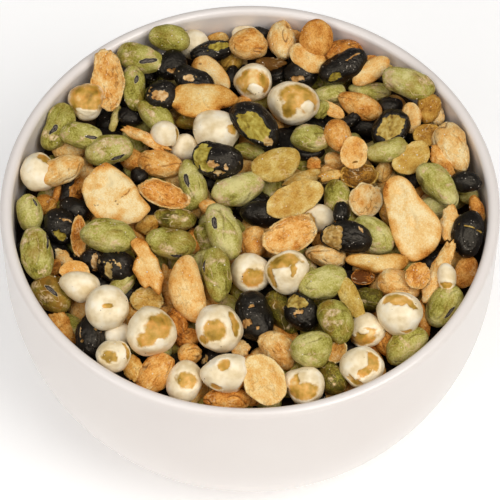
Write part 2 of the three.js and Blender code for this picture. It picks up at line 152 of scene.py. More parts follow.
COATED_PEAS = [
    [87, 100, 0, 8.7, 8.7, 1], [194, 44, 0, 7.2, 7, 0], [165, 134, -30, 6.8, 6, 1],
    [216, 131, -10, 11.4, 10.4, 1], [184, 148, 0, 6.4, 6.4, 0], [254, 83, 0, 9, 9, 1],
    [292, 103, -10, 12.2, 10.4, 2], [38, 172, 90, 9.2, 8.4, 1], [80, 286, -10, 10, 7, 1],
    [108, 307, 0, 10.6, 10.4, 2], [151, 333, 0, 11.6, 11.6, 2], [319, 218, 0, 7.8, 6.4, 1],
    [250, 273, 0, 9.8, 9.6, 1], [287, 272, 20, 10.6, 9.8, 2], [447, 277, 90, 6.4, 4.4, 1],
    [400, 313, 0, 11.2, 10, 2], [366, 331, 10, 9.4, 8.2, 1], [219, 328, -60, 12, 11.2, 2],
    [225, 373, 10, 12.2, 9.2, 2], [185, 382, 80, 10, 8.6, 1], [113, 356, 0, 8, 8, 2],
    [118, 336, 0, 7, 6.4, 1], [305, 385, 0, 10.2, 9.4, 2], [362, 367, 0, 10.6, 10, 2],
]
# The halves add how far they bulge on top and how bent they are.
SPLIT_HALVES = [
    [316, 39, 80, 9.6, 8, 1, 0.57, 0, 0.8, 0], [308, 58, -30, 9.6, 6.2, 2, 0.34, 0, 0.7, 0],
    [371, 71, 35, 10.4, 5, 2, 0.25, 0, 1, 0], [375, 56, 0, 5, 3.4, 1, 0.62, 0, 0.3, 0],
    [411, 118, 90, 7.4, 5, 1, 0.33, 0, 0.8, 0], [428, 135, 0, 7.4, 5.4, 1, 0.72, 0.6, 0.1, 0],
    [276, 164, 18, 12, 8, 2, 0.38, 0.7, 0.7, 0.22], [295, 199, 25, 14.8, 8, 2, 0.42, 0.5, 0.15, 0],
    [354, 153, 80, 8, 6.6, 2, 0.45, 0, 0.1, 0], [411, 158, 35, 10, 7, 2, 0.45, 0.6, 0.1, 0.1],
    [351, 298, -65, 11, 4.8, 2, 0.3, 0.75, 0.7, 0.25], [466, 272, 70, 8.2, 5.4, 1, 0.62, 0, 0.6, 0],
    [76, 273, -25, 8, 5.4, 3, 0.42, 0, 0.5, -0.3], [264, 380, -60, 13, 10, 2, 0.3, 0.1, 0.2, 0],
    [189, 290, -78, 16.6, 8.4, 1, 0.32, 0, 0.9, 0.4], [332, 110, -30, 6.8, 3.4, 1, 0.45, 0, 0.6, 0],
    [295, 31, 0, 4.4, 3.6, 0, 0.5, 0, 0.8, 0],
]
# The hollow skins add how deep they are.
HOLLOW_SKINS = [
    [108, 80, -85, 15, 7.8, 2, 0.34, 0, 0.25], [164, 194, -20, 13, 6.4, 2, 0.38, 0, 0.6],
    [366, 200, 70, 8.6, 8, 2, 0.1, 0, 0.55], [290, 235, 22, 14, 8.6, 2, 0.32, 0, 0.4],
    [359, 175, 0, 9.2, 6.6, 1, 0.62, 0.6, 0.8], [418, 276, 60, 6.4, 6, 2, 0.5, 0, 0.25],
    [79, 236, -88, 9.8, 4, 1, 0.5, 0, 0.5], [147, 300, 0, 8.2, 6.2, 1, 0.3, 0.5, 0.3],
    [363, 277, 0, 6, 4, 1, 0.85, 0, 0.7], [337, 352, 60, 6, 4.6, 1, 0.22, 0.2, 0.9],
]
BROAD_SLICES = [
    [116, 194, -50, 16.6, 15, 3, 0.1, 0], [412, 219, -68, 22, 12.6, 3, 0.14, 0],
    [203, 103, 0, 17.2, 8.4, 2, 0.28, 0.2], [211, 72, -45, 11.4, 7, 1, 0.18, 0],
    [378, 262, -5, 15.8, 5.8, 1, 0.3, 0.2], [149, 268, -60, 16, 7.4, 2, 0.28, 0],
]
FLAKES = [
    [115, 119, 75, 7.6, 2.2, 1, 0.15, 0.9], [146, 138, -25, 12.4, 3, 2, 0.45, 0],
    [270, 63, 0, 7.2, 3.4, 1, 1.15, 0.6], [85, 171, -30, 6, 4.6, 1, 0.4, 0],
    [57, 193, 78, 5, 2, 1, 0.65, 0], [63, 257, -50, 5, 3.4, 1, 0.3, 0],
    [63, 328, -60, 9, 6, 1, 0.6, 0.1], [133, 368, -60, 7, 5, 1, 0.5, 0.3],
    [302, 177, 12, 10.6, 4, 1, 0.35, 0.5], [331, 175, 10, 6.2, 3, 1, 0.5, 0.3],
    [443, 163, -65, 9, 4.4, 1, 0.5, 0], [451, 223, 85, 8.6, 5.2, 2, 0.3, 0],
    [440, 270, 65, 16, 4.6, 1, 0.3, 0], [423, 320, -80, 9.4, 3.6, 0, 0.7, 0],
    [240, 348, 0, 4.8, 4.4, 0, 0.3, 0], [168, 285, -80, 11, 5, 0, 0.5, 0],
    [314, 163, 0, 4, 3.4, 1, 0.6, 0],
]

# Smaller pieces of the same kinds, which show in the gaps between the others.
TUCKED = {
    "golden_soybeans": [
        [77, 190, 60, 7, 4, 0, 0.85, 0.1], [135, 160, -30, 8, 5, 0, 0.75, 0.1],
        [44, 206, 20, 6, 5, 0, 0.8, 0.3], [193, 242, 60, 7, 4.6, 0, 0.75, 0],
        [190, 337, 0, 6, 5, 0, 0.8, 0], [385, 340, -70, 8, 5, 0, 0.75, 0.2],
        [389, 213, -60, 7, 4, 0, 0.7, 0.3], [252, 398, 0, 6, 3.6, 0, 0.6, 0],
        [147, 224, 20, 6, 4.4, 0, 0.7, 0.5], [208, 206, 0, 4.4, 3.4, 0, 0.6, 0],
        [335, 161, -20, 6, 4, 0, 0.45, 0], [383, 172, 60, 5.4, 4, 0, 0.5, 0.2],
        [478, 209, -70, 6.4, 3.4, 0, 0.8, 0], [218, 39, 0, 5.6, 3, 0, 0.6, 0.3],
        [231, 61, 60, 6, 5, 0, 0.7, 0.7], [283, 30, 20, 7, 4, 0, 0.65, 0.1],
        [212, 140, 10, 7, 5, 0, 0.7, 0], [240, 106, 40, 6, 4, 0, 0.75, 0],
        [405, 242, 0, 6, 4, 0, 0.6, 0], [53, 268, 40, 5, 4, 0, 0.8, 0.1],
    ],
    "green_soybeans": [
        [250, 152, -15, 7.6, 3.8, 0], [321, 110, 60, 5, 4, 0], [300, 367, 50, 6, 4, 0],
        [190, 200, 30, 7, 5, 0], [122, 284, 40, 8, 5, 0],
    ],
    "black_soybeans": [
        [262, 28, -10, 6, 3.6, 0], [350, 120, 30, 5, 3.2, 0],
        [228, 109, 60, 5.6, 4, 0], [161, 134, 0, 5, 4, 0],
    ],
    "coated_peas": [[246, 27, 0, 6.4, 4.4, 0]],
    "split_halves": [[394, 62, -40, 6.4, 3.6, 0, 0.35, 0.7, 0.3, 0]],
}

# The broad slices, in the order of their rows: how high each is domed, how many steps of its
# outline are smoothed together, and the outline as columns and rows.
SLICE_SHAPES = [
    dict(dome=0.9, softness=7, outline=[
        (106, 162), (118, 169), (130, 178), (136, 186), (141, 196), (152, 209), (140, 222),
        (125, 226), (110, 223), (97, 219), (87, 207), (81, 190), (84, 180), (95, 168),
    ]),
    dict(dome=0.5, softness=17, outline=[
        (386, 180), (395, 174), (405, 177), (413, 184), (417, 195), (428, 206), (439, 219),
        (442, 229), (440, 241), (433, 252), (422, 259), (412, 263), (404, 258), (397, 248),
        (392, 235), (388, 218), (385, 203), (382, 190),
    ]),
    dict(dome=1.4, softness=9, outline=[
        (169, 103), (169, 98), (172, 91), (178, 85), (192, 83), (208, 84), (222, 85),
        (230, 89), (238, 97), (240, 101), (232, 107), (222, 108), (217, 114), (208, 114),
        (200, 118), (192, 118), (183, 116), (175, 110),
    ]),
    dict(dome=1.6, softness=17, outline=[
        (191, 65), (194, 59), (200, 55), (208, 55), (215, 60), (222, 67), (228, 75),
        (231, 84), (230, 90), (222, 92), (212, 90), (205, 84), (198, 77), (192, 72),
    ]),
    dict(dome=0.8, softness=11, outline=[
        (343, 258), (352, 254), (365, 254), (380, 255), (395, 253), (408, 256), (410, 262),
        (403, 270), (390, 274), (375, 273), (358, 268), (347, 264),
    ]),
    dict(dome=0.8, softness=5, outline=[
        (129, 245), (131, 240), (136, 237), (142, 238), (147, 242), (151, 251), (158, 259),
        (160, 267), (165, 277), (163, 282), (162, 291), (160, 296), (156, 293), (150, 286),
        (145, 289), (140, 284), (137, 278), (132, 270), (134, 262), (138, 255), (133, 250),
    ]),
]

# Marks on the pieces. Each: column, row, length, width, heading.
SEED_EYES = [
    [54, 129, 2.6, 1.1, 50], [148, 61, 4.4, 1.1, 8], [136, 80, 1.8, 0.8, 75],
    [90, 137, 2.8, 0.7, -8], [118, 157, 3, 0.8, 25], [35, 203, 2, 0.7, -60],
    [47, 240, 3.8, 0.7, -80], [51, 290, 3.4, 0.9, -40], [176, 255, 2.6, 0.7, -5],
    [187, 180, 2.8, 1, -72], [214, 222, 3.2, 1.1, -80], [205, 267, 3.2, 0.7, 85],
    [450, 312, 3.2, 0.8, 48],
]
RUBBED_SKIN = [
    [134, 73, 2.6, 1.8, 10], [45, 134, 2.6, 2, -20], [54, 137, 2.4, 1, 10], [112, 141, 7, 2.4, 5],
    [101, 152, 2.4, 3.4, 60], [125, 150, 3, 2.4, 30], [213, 213, 3.4, 1.4, 20],
    [226, 231, 4, 0.9, -5], [331, 313, 3.6, 2.2, 20], [326, 324, 1.6, 2.6, 80],
    [341, 322, 2.4, 1, 35], [404, 341, 4, 0.8, -45], [447, 186, 3, 0.7, 25],
    [215, 262, 4.6, 0.8, 15], [209, 280, 3, 0.8, -20], [168, 249, 4, 2.4, -20],
    [183, 219, 2.4, 1.6, 0], [151, 113, 5, 1.2, -40], [299, 344, 1.6, 0.8, -30],
    [304, 126, 4, 1.6, 15], [322, 140, 2, 3.4, -60], [33, 196, 2.6, 0.9, 10], [36, 231, 3.4, 0.8, 15],
]
COAT_OPENINGS = [
    [86, 95, 9.4, 9, 0], [178, 134, 1.8, 4.6, -10], [161, 146, 6, 2.6, -15],
    [232, 129, 3, 2.6, -55], [253, 82, 8.6, 6.6, 0], [268, 86, 3, 5, 0],
    [300, 96, 10.6, 7, -20], [289, 110, 5, 4, 60], [48, 158, 6.4, 3.6, -30],
    [107, 306, 2.3, 1.2, 0], [160, 326, 9, 6.6, 50], [146, 340, 5.6, 3.6, 20],
    [308, 220, 3, 4.4, 70], [253, 279, 5.8, 5.2, 0], [282, 259, 9, 4.4, 15],
    [269, 276, 2.6, 6.6, 20], [294, 270, 1.8, 3.4, 0], [448, 286, 3.4, 2, 0],
    [398, 299, 8, 3.2, -5], [411, 304, 4, 1.8, -35], [408, 331, 3.6, 1.6, 0],
    [362, 342, 9, 3.4, 5], [366, 334, 5.4, 3, 10], [214, 331, 6, 5.6, -10],
    [235, 325, 2.4, 6.6, 10], [205, 340, 3.4, 2.4, -30], [224, 364, 3.4, 3.6, 0],
    [246, 382, 4, 5.4, 0], [216, 388, 3, 2.2, -30], [186, 380, 6, 4.2, -10],
    [109, 357, 4, 3, 0], [127, 352, 1.6, 4.4, 10], [302, 392, 8, 4.6, 0],
    [294, 386, 2.8, 6, 0], [374, 362, 3, 5, 20], [365, 373, 4.6, 2.2, 30],
    [353, 381, 5, 2, -35],
]
COAT_ISLANDS = [
    [256, 90, 2.8, 3.6, 60], [308, 107, 3.6, 3, -20], [216, 345, 2.6, 2.2, 0], [88, 112, 4.6, 1.6, 0],
    [160, 341, 2.4, 1.2, 20], [363, 331, 2.6, 1.4, 0],
]
# Torn skin adds what shows in it, from 0 for olive to 1 for tan.
TORN_SKIN = [
    [218, 46, 5.2, 2.4, 10, 0], [188, 78, 3.2, 1.8, -20, 1], [203, 88, 2.4, 1.4, 0, 1],
    [170, 72, 3, 1.8, 0, 1], [160, 95, 4.4, 3.2, 0, 1], [254, 127, 9.8, 5.4, -40, 0],
    [268, 141, 3.4, 2.6, -60, 0.8], [335, 78, 3.2, 2, 20, 0], [352, 57, 3, 0.5, 30, 1],
    [297, 79, 3, 2.2, 0, 1], [391, 126, 7.6, 5.6, 45, 0.35], [61, 236, 3.6, 2.2, -35, 0],
    [66, 219, 3, 0.7, -20, 1], [96, 262, 2, 3.6, 0, 1], [108, 271, 2.2, 4.2, 10, 0.6],
    [200, 153, 4.6, 6.4, -20, 0], [206, 168, 4.4, 2.2, -20, 0], [212, 165, 2.6, 2.2, 0, 1],
    [226, 167, 0.7, 1.8, 15, 1], [218, 175, 0.7, 1.4, 0, 1], [277, 208, 3.4, 1.6, -50, 1],
    [331, 236, 5.4, 7, 0, 0.7], [362, 231, 0.8, 2, 20, 1], [471, 227, 6.4, 0.4, -20, 0.4],
    [251, 306, 1.2, 0.6, 20, 1], [247, 323, 2.6, 1.6, 40, 1], [258, 328, 1, 0.5, 40, 1],
    [294, 300, 6.8, 4, -10, 0.3], [299, 312, 2.4, 0.8, 15, 1], [98, 322, 4.6, 0.5, -55, 1],
    [80, 331, 3.6, 0.5, -85, 1],
]
SLICE_DENTS = [[107, 183, 3.4, 3.2, 0], [400, 191, 4.4, 3.2, -50], [412, 221, 2.6, 5, 15]]
SLICE_SPECKS = [
    [95, 206, 0.5, 0.4, 0], [98, 206, 0.4, 0.4, 0], [116, 202, 0.6, 0.4, 20],
    [118, 205, 0.5, 0.4, 0], [125, 196, 2.4, 0.3, 35], [129, 192, 1.6, 0.3, 60],
    [200, 65, 0.9, 0.5, -10],
]
SLICE_STAINS = [
    [104, 167, 4.6, 2.4, 20], [127, 193, 4, 1.2, 35], [386, 190, 1.6, 7, 10],
    [118, 216, 4, 2, 40], [98, 188, 3, 1.4, 10], [226, 104, 6, 4.4, 0], [176, 108, 3, 2.4, 30],
]

# ---------------------------------------------------------------- where the pieces lie


def heap_depth(radius):
    """How far under the rim's plane the middles of the heap's pieces lie."""
    share = np.minimum(radius / INNER_RADIUS, 1.0) ** HEAP_FALL
    return MIDDLE_DEPTH + (EDGE_DEPTH - MIDDLE_DEPTH) * share


def inner_radius_at(level):
    """The radius inside the bowl's wall."""
    below = np.maximum(BOWL_HEIGHT - STRAIGHT_DEPTH - level, 0.0)
    return np.sqrt(INNER_RADIUS**2 - below**2)


def unit(vector):
    return vector / np.linalg.norm(vector)


def line_of_sight(column, row):
    across = RIGHT * (column - RIM_COLUMN) + UP * (RIM_ROW - row)
    return unit(across - TO_EYE * PIXELS_PER_RADIAN)


def place_on_heap(column, row):
    """The point of the heap's surface that shows at a column and row, and its line of sight."""
    ray = line_of_sight(column, row)
    place = EYE.copy()
    for _ in range(PLACE_ROUNDS):
        level = BOWL_HEIGHT - heap_depth(math.hypot(place[0], place[1]))
        place = EYE + ray * (level - EYE[2]) / ray[2]
    return place, ray


def along_heading(heading, flat):
    """The direction across a flat side that shows at a heading, as long as it is foreshortened."""
    angle = math.radians(heading)
    seen = RIGHT * math.cos(angle) + UP * math.sin(angle)
    return seen - TO_EYE * (seen @ flat) / (TO_EYE @ flat)


def piece_axes(heading, turn):
    """A piece's three directions, turned from the zenith towards the eye, and its foreshortening."""
    flat = unit(ZENITH * (1.0 - turn) + TO_EYE * turn)
    length = along_heading(heading, flat)
    foreshortening = np.linalg.norm(length)
    length = length / foreshortening
    return np.array([length, np.cross(flat, length), flat]), foreshortening


def wall_overlap(place, axes, halves):
    """How far a piece reaches into the bowl's wall, and the direction out to the wall."""
    radius = math.hypot(place[0], place[1])
    outward = np.array([place[0] / radius, place[1] / radius, 0.0])
    reach = np.linalg.norm((axes @ outward) * halves)
    return radius + reach + HEAP_GAP - inner_radius_at(place[2]), outward


class Ground:
    """What pieces rest on, kept as its height towards the eye over a grid of cells."""

    def __init__(self):
        count = math.ceil(2 * RIM_RADIUS / CELL)
        self.middles = (np.arange(count) + 0.5) * CELL - RIM_RADIUS
        across, up = np.meshgrid(self.middles, self.middles)
        self.height = np.zeros_like(across)
        for _ in range(PLACE_ROUNDS):
            y = up * UP[1] + self.height * TO_EYE[1]
            level = -heap_depth(np.hypot(across, y)) - CORE_DEPTH
            self.height = (level - up * UP[2]) / TO_EYE[2]

    def covered(self, place, axes, halves):
        """The cells that an ellipsoid covers, with its near and far side there."""
        middle = np.array([RIGHT, UP, TO_EYE]) @ (place - RIM_CENTRE)
        reach = max(halves)
        columns = np.abs(self.middles - middle[0]) < reach + CELL
        rows = np.abs(self.middles - middle[1]) < reach + CELL
        across, up = np.meshgrid(self.middles[columns] - middle[0], self.middles[rows] - middle[1])
        scaled = axes / np.array(halves)[:, None]
        parts = np.multiply.outer(across, scaled @ RIGHT) + np.multiply.outer(up, scaled @ UP)
        deep = scaled @ TO_EYE
        square = deep @ deep
        cross = parts @ deep
        root = cross**2 - square * ((parts**2).sum(-1) - 1.0)
        inside = root > 0
        step = np.sqrt(np.maximum(root, 0.0))
        window = np.ix_(rows, columns)
        near = middle[2] + (step - cross) / square
        far = middle[2] - (step + cross) / square
        return window, inside, near, far

    def settle(self, place, ray, axes, halves, layer):
        """Slides a piece along its line of sight until it bites a little into what is under it.

        Where it meets the wall it slides on, and then moves straight away from the wall.
        """
        if layer == 0:
            place = place + ray * BURIED_DROP
        else:
            window, inside, _, far = self.covered(place, axes, halves)
            overlap = (self.height[window] - far)[inside].max()
            place = place - ray * np.clip(overlap - BITE, -MOST_DROP, MOST_LIFT)
        overlap, outward = wall_overlap(place, axes, halves)
        slide = -SLIDE_STEP if outward @ ray > 0 else SLIDE_STEP
        for _ in range(SLIDE_STEPS):
            if overlap > 0:
                place = place + ray * slide
                overlap, outward = wall_overlap(place, axes, halves)
        place = place - outward * max(overlap, 0.0)
        window, inside, near, _ = self.covered(place, axes, halves)
        ground = self.height[window]
        self.height[window] = np.where(inside, np.maximum(ground, near), ground)
        return place


# ---------------------------------------------------------------- noise and smooth steps

NOISE_SEED = 11
NOISE_CELLS = 256
SEED_SHIFT = np.array([17.3, 5.7, 41.9])
SEED_CYCLE = 97
shuffler = np.random.default_rng(NOISE_SEED)
SHUFFLED = shuffler.permutation(NOISE_CELLS)
SLOPES = shuffler.normal(size=(NOISE_CELLS, 3))
SLOPES /= np.linalg.norm(SLOPES, axis=1)[:, None]


def noise(points, wavelength, seed):
    """Smooth noise of about -0.7 to 0.7 that varies over a wavelength."""
    scaled = points / wavelength + SEED_SHIFT * (seed % SEED_CYCLE)
    corner = np.floor(scaled).astype(int)
    inside = scaled - corner
    ease = inside**3 * (inside * (inside * 6 - 15) + 10)
    total = np.zeros(len(points))
    for step in np.ndindex(2, 2, 2):
        pick = np.zeros(len(points), int)
        for part in (corner + step).T:
            pick = SHUFFLED[(pick + part) % NOISE_CELLS]
        weight = np.where(step, ease, 1 - ease).prod(1)
        total += weight * ((inside - step) * SLOPES[pick]).sum(1)
    return total


def waves(points, seed, *layers):
    """Noises added up, each given by how much of it there is and by its wavelength."""
    return sum(amount * noise(points, wave, seed + k) for k, (amount, wave) in enumerate(layers))


def smooth_step(low, high, value):
    """0 below the low end, 1 above the high end."""
    share = np.clip((value - low) / (high - low), 0.0, 1.0)
    return share * share * (3 - 2 * share)


def crease(points, wavelength, seed, width, along=1.0):
    """1 on thin wandering lines, 0 away from them. They run along x where along is below 1."""
    return np.exp(-((noise(points * (along, 1.0, 1.0), wavelength, seed) / width) ** 2))


def patches(points, wavelength, seed, low, high):
    """1 where a slow noise is above the high end, 0 where it is below the low end."""
    return smooth_step(low, high, noise(points, wavelength, seed))


# ---------------------------------------------------------------- meshes


def round_cube(steps, lean=0.28):
    """Points and faces of a unit ball, gridded as a swollen cube that is finer on top."""
    line = np.tan(np.linspace(-1, 1, steps + 1) * math.pi / 4)
    first, second = np.meshgrid(line, line)
    sheets = []
    for axis in range(3):
        for side in (-1.0, 1.0):
            sheet = np.zeros((steps + 1, steps + 1, 3))
            sheet[..., axis] = side
            sheet[..., (axis + 1) % 3] = first * side
            sheet[..., (axis + 2) % 3] = second
            sheets.append(sheet.reshape(-1, 3))
    points = np.concatenate(sheets)
    points, index = np.unique(points.round(6), axis=0, return_inverse=True)
    index = index.reshape(6, steps + 1, steps + 1)
    faces = np.stack([index[:, :-1, :-1], index[:, :-1, 1:], index[:, 1:, 1:], index[:, 1:, :-1]], -1)
    points /= np.linalg.norm(points, axis=1)[:, None]
    stretch = 1 + lean * points[:, 2]
    flat = points[:, :2] * (math.sqrt(1 - lean**2) / stretch)[:, None]
    return np.column_stack([flat, (points[:, 2] + lean) / stretch]), faces.reshape(-1, 4)


class Batch:
    """Pieces of one kind, gathered into one mesh with values kept on its points."""

    def __init__(self):
        self.points = []
        self.faces = []
        self.values = {}
        self.count = 0

    def add(self, points, faces, **values):
        self.points.append(points)
        self.faces.append(faces + self.count)
        self.count += len(points)
        for name, value in values.items():
            shape = points.shape if np.ndim(value) == 2 else len(points)
            self.values.setdefault(name, []).append(np.broadcast_to(value, shape))

    def build(self, name, material, node, slot):
        points = np.concatenate(self.points) * METRE
        faces = np.concatenate(self.faces)
        mesh = bpy.data.meshes.new(name)
        mesh.vertices.add(len(points))
        mesh.vertices.foreach_set("co", points.astype(np.float32).ravel())
        corners = faces.shape[1]
        mesh.loops.add(faces.size)
        mesh.loops.foreach_set("vertex_index", faces.astype(np.int32).ravel())
        mesh.polygons.add(len(faces))
        mesh.polygons.foreach_set("loop_start", np.arange(len(faces), dtype=np.int32) * corners)
        mesh.polygons.foreach_set("use_smooth", np.ones(len(faces), dtype=bool))
        for key, parts in self.values.items():
            value = np.concatenate(parts).astype(np.float32)
            kind, field = ("FLOAT_VECTOR", "vector") if value.ndim == 2 else ("FLOAT", "value")
            mesh.attributes.new(key, kind, "POINT").data.foreach_set(field, value.ravel())
        mesh.update(calc_edges=True)
        mesh.materials.append(material)
        piece = bpy.data.objects.new(name, mesh)
        bpy.context.scene.collection.objects.link(piece)
        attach(piece, "root")
        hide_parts(node)


# ---------------------------------------------------------------- marks


LEAST_FACING = 0.25
FACING_HELP = 0.5
MARK_REACH = 1.4
RAGGED_SIZE = 2.0
MOST_RAGGED = 1.6


def mark_frame(piece, mark):
    """Where a mark lies on a piece: its middle, its two directions and the way it faces."""
    column, row, _, _, heading = mark[:5]
    axes, halves = piece["axes"], piece["halves"]
    ray = line_of_sight(column, row)
    start = axes @ (EYE - piece["place"]) / halves
    step = axes @ ray / halves
    square = step @ step
    cross = start @ step
    root = max(cross**2 - square * (start @ start - 1.0), 0.0)
    local = unit(start - step * (cross + math.sqrt(root)) / square)
    facing = unit((local / halves) @ axes)
    if facing @ TO_EYE < LEAST_FACING:
        facing = unit(facing + TO_EYE * FACING_HELP)
    along = unit(along_heading(heading, facing))
    return local * halves, axes @ along, axes @ np.cross(facing, along), axes @ facing


def mark_field(piece, local, mark, ragged, seed):
    """1 in the middle of a mark, 0 on its edge, below 0 outside it."""
    middle, along, across, facing = mark_frame(piece, mark)
    offset = local - middle
    reach = np.hypot(offset @ along / (mark[2] / 2), offset @ across / (mark[3] / 2))
    rough = waves(local, seed, (1.0, 1.6), (0.5, 0.6))
    field = 1.0 - reach + ragged * rough * min(RAGGED_SIZE / min(mark[2], mark[3]), MOST_RAGGED)
    behind = (local / piece["halves"] ** 2) @ facing < 0
    return np.where(behind, -1.0, field)


def flat_field(piece, plan, mark, ragged, seed):
    """As mark_field, on a slice that is laid out in the directions of the picture."""
    offset = (np.array(mark[:2]) - piece["row"][:2]) / PIXELS_PER_MM * (1, -1)
    angle = math.radians(mark[4])
    gap = plan - offset
    along = gap @ np.array([math.cos(angle), math.sin(angle)])
    aside = gap @ np.array([-math.sin(angle), math.cos(angle)])
    rough = noise(np.column_stack([plan, np.zeros(len(plan))]), 1.6, seed)
    return 1 - np.hypot(along / (mark[2] / 2), aside / (mark[3] / 2)) + ragged * rough


def strongest(field, piece, points, marks, ragged, seed):
    """The highest that any of the marks gives at each point, and at least -1."""
    fields = [field(piece, points, mark, ragged, seed) for mark in marks]
    return np.max([np.full(len(points), -1.0), *fields], axis=0)


def marks_near(piece, pieces, marks):
    """The marks that lie nearer to this piece's middle, for its size, than to any other's."""
    found = []
    for mark in marks:
        gaps = [seen_gap(other, mark) for other in pieces]
        if pieces[int(np.argmin(gaps))] is piece and min(gaps) < MARK_REACH:
            found.append(mark)
    return found


def seen_gap(piece, mark):
    """How far a mark lies from a piece's middle in the picture, 1 at the piece's rim."""
    row = piece["row"]
    angle = math.radians(row[2])
    across, up = mark[0] - row[0], row[1] - mark[1]
    along = across * math.cos(angle) + up * math.sin(angle)
    aside = up * math.cos(angle) - across * math.sin(angle)
    return math.hypot(along / row[3], aside / row[4]) * 2 / PIXELS_PER_MM


# ---------------------------------------------------------------- the forms of the pieces
# Each takes the unit ball's points and a piece, and gives local points and values for them. A
# noise's amount and wavelength are in millimetres where it moves points.

CHIP_TAN = 0.8
OUTLINE_STEPS = 180


def bean_body(ball, piece, plumpness):
    swell = (np.abs(ball) ** plumpness).sum(1) ** (-1 / plumpness)
    x, y, z = (ball * swell[:, None]).T
    y = y * (1 - 0.1 * x * x + piece["taper"] * x) + piece["bend"] * (x * x - 0.4)
    return np.stack([x, y, z], 1) * piece["halves"]


def raised(body, ball, piece, height):
    """The body's points, moved out of an ellipsoid's surface by a height."""
    direction = ball / piece["halves"]
    direction = direction / np.linalg.norm(direction, axis=1)[:, None]
    return body + direction * height[:, None]


def dents(points, seed):
    """Slow swells and shallow dents that make each piece uneven."""
    return waves(points, seed, (0.8, 6.5), (0.45, 3.4), (0.22, 1.7))


def green_form(ball, piece, seed):
    body = bean_body(ball, piece, 2.25)
    folds = crease(body, 2.8, seed + 3, 0.045, 0.28) * patches(body, 4.5, seed + 4, 0.02, 0.28)
    bare = smooth_step(0.16, 0.34, waves(body, seed + 5, (1.0, 3.0), (0.5, 1.0)) + piece["wear"])
    rubs = strongest(mark_field, piece, body, piece["rubs"], 0.9, seed + 7)
    bare = np.maximum(bare, smooth_step(-0.2, 0.3, rubs))
    eye = strongest(mark_field, piece, body, piece["eyes"], 0.4, seed + 8)
    scar = smooth_step(-0.3, 0.0, eye)
    height = dents(body, seed) - 0.34 * folds + 0.1 * bare * noise(body, 0.7, seed + 9)
    height = height + 0.14 * smooth_step(-0.7, -0.2, eye) - 0.3 * smooth_step(-0.1, 0.5, eye)
    strands = noise(body * (0.28, 1.0, 1.0), 1.1, seed + 11)
    tone = piece["tone"] + 0.55 * noise(body, 4.5, seed + 10) + 0.15 * strands
    # The folds also go to the material as painted shade in the creases.
    values = {"tone": tone, "shift": piece["shift"], "bare": bare * (1 - scar), "eye": eye, "fold": folds}
    return raised(body, ball, piece, height), values


def black_form(ball, piece, seed):
    body = bean_body(ball, piece, 2.2)
    folds = crease(body, 2.4, seed + 3, 0.05, 0.4) * patches(body, 4.0, seed + 4, -0.05, 0.2)
    chips = noise(body * (0.5, 1.0, 1.0), 2.0, seed + 6) + 0.4 * noise(body, 0.7, seed + 7)
    torn = [(mark_field(piece, body, mark, 0.9, seed + 5), mark[5]) for mark in piece["tears"]]
    torn.append(((chips - piece["chips"]) * 3, CHIP_TAN))
    field = np.full(len(ball), -1.0)
    tan = np.zeros(len(ball))
    for one, colour in torn:
        tan = np.where(one > field, colour, tan)
        field = np.maximum(field, one)
    bare = smooth_step(-0.04, 0.08, field)
    edge = smooth_step(-0.4, -0.04, field) * (1 - bare)
    crumbly = waves(body, seed + 8, (1.0, 0.9), (0.5, 0.45))
    height = dents(body, seed) - 0.3 * folds + 0.16 * edge - bare * (0.5 - 0.3 * crumbly)
    tone = piece["tone"] + 0.4 * noise(body, 2.5, seed + 10) + 0.5 * crumbly * bare
    return raised(body, ball, piece, height), {"tone": tone, "bare": bare, "flesh": tan}


def golden_form(ball, piece, seed):
    body = bean_body(ball, piece, 2.15)
    cracks = crease(body, 3.4, seed + 3, 0.03, 0.5) * patches(body, 3.6, seed + 4, 0.0, 0.2)
    ridges = crease(body, 2.2, seed + 5, 0.07, 0.5) * patches(body, 3.4, seed + 6, 0.0, 0.3)
    rough = waves(body, seed + 7, (1.0, 0.8), (0.5, 0.4))
    height = dents(body, seed) - 0.4 * cracks + 0.2 * ridges + 0.06 * rough
    tone = piece["tone"] - 0.1 + 0.35 * noise(body, 3.0, seed + 9) - 0.2 * ridges + 0.1 * rough
    # The cracks also go to the material as painted shade in them.
    return raised(body, ball, piece, height), {"tone": tone, "shift": piece["shift"], "fold": cracks}


def coated_form(ball, piece, seed):
    body = bean_body(ball, piece, 2.1)
    openings = strongest(mark_field, piece, body, piece["openings"], 0.7, seed + 2)
    islands = strongest(mark_field, piece, body, piece["islands"], 0.5, seed + 7)
    field = np.minimum(openings, -islands)
    bare = smooth_step(-0.15, 0.3, field)
    lip = np.exp(-(((field + 0.2) / 0.25) ** 2))
    height = waves(body, seed, (0.9, 6.0), (0.35, 3.0)) - 0.28 * bare + 0.12 * lip
    height = height + 0.06 * bare * noise(body, 0.9, seed + 3)
    tone = 0.5 + waves(body, seed + 4, (0.8, 3.0), (0.3, 1.0))
    return raised(body, ball, piece, height), {"tone": tone, "bare": bare}


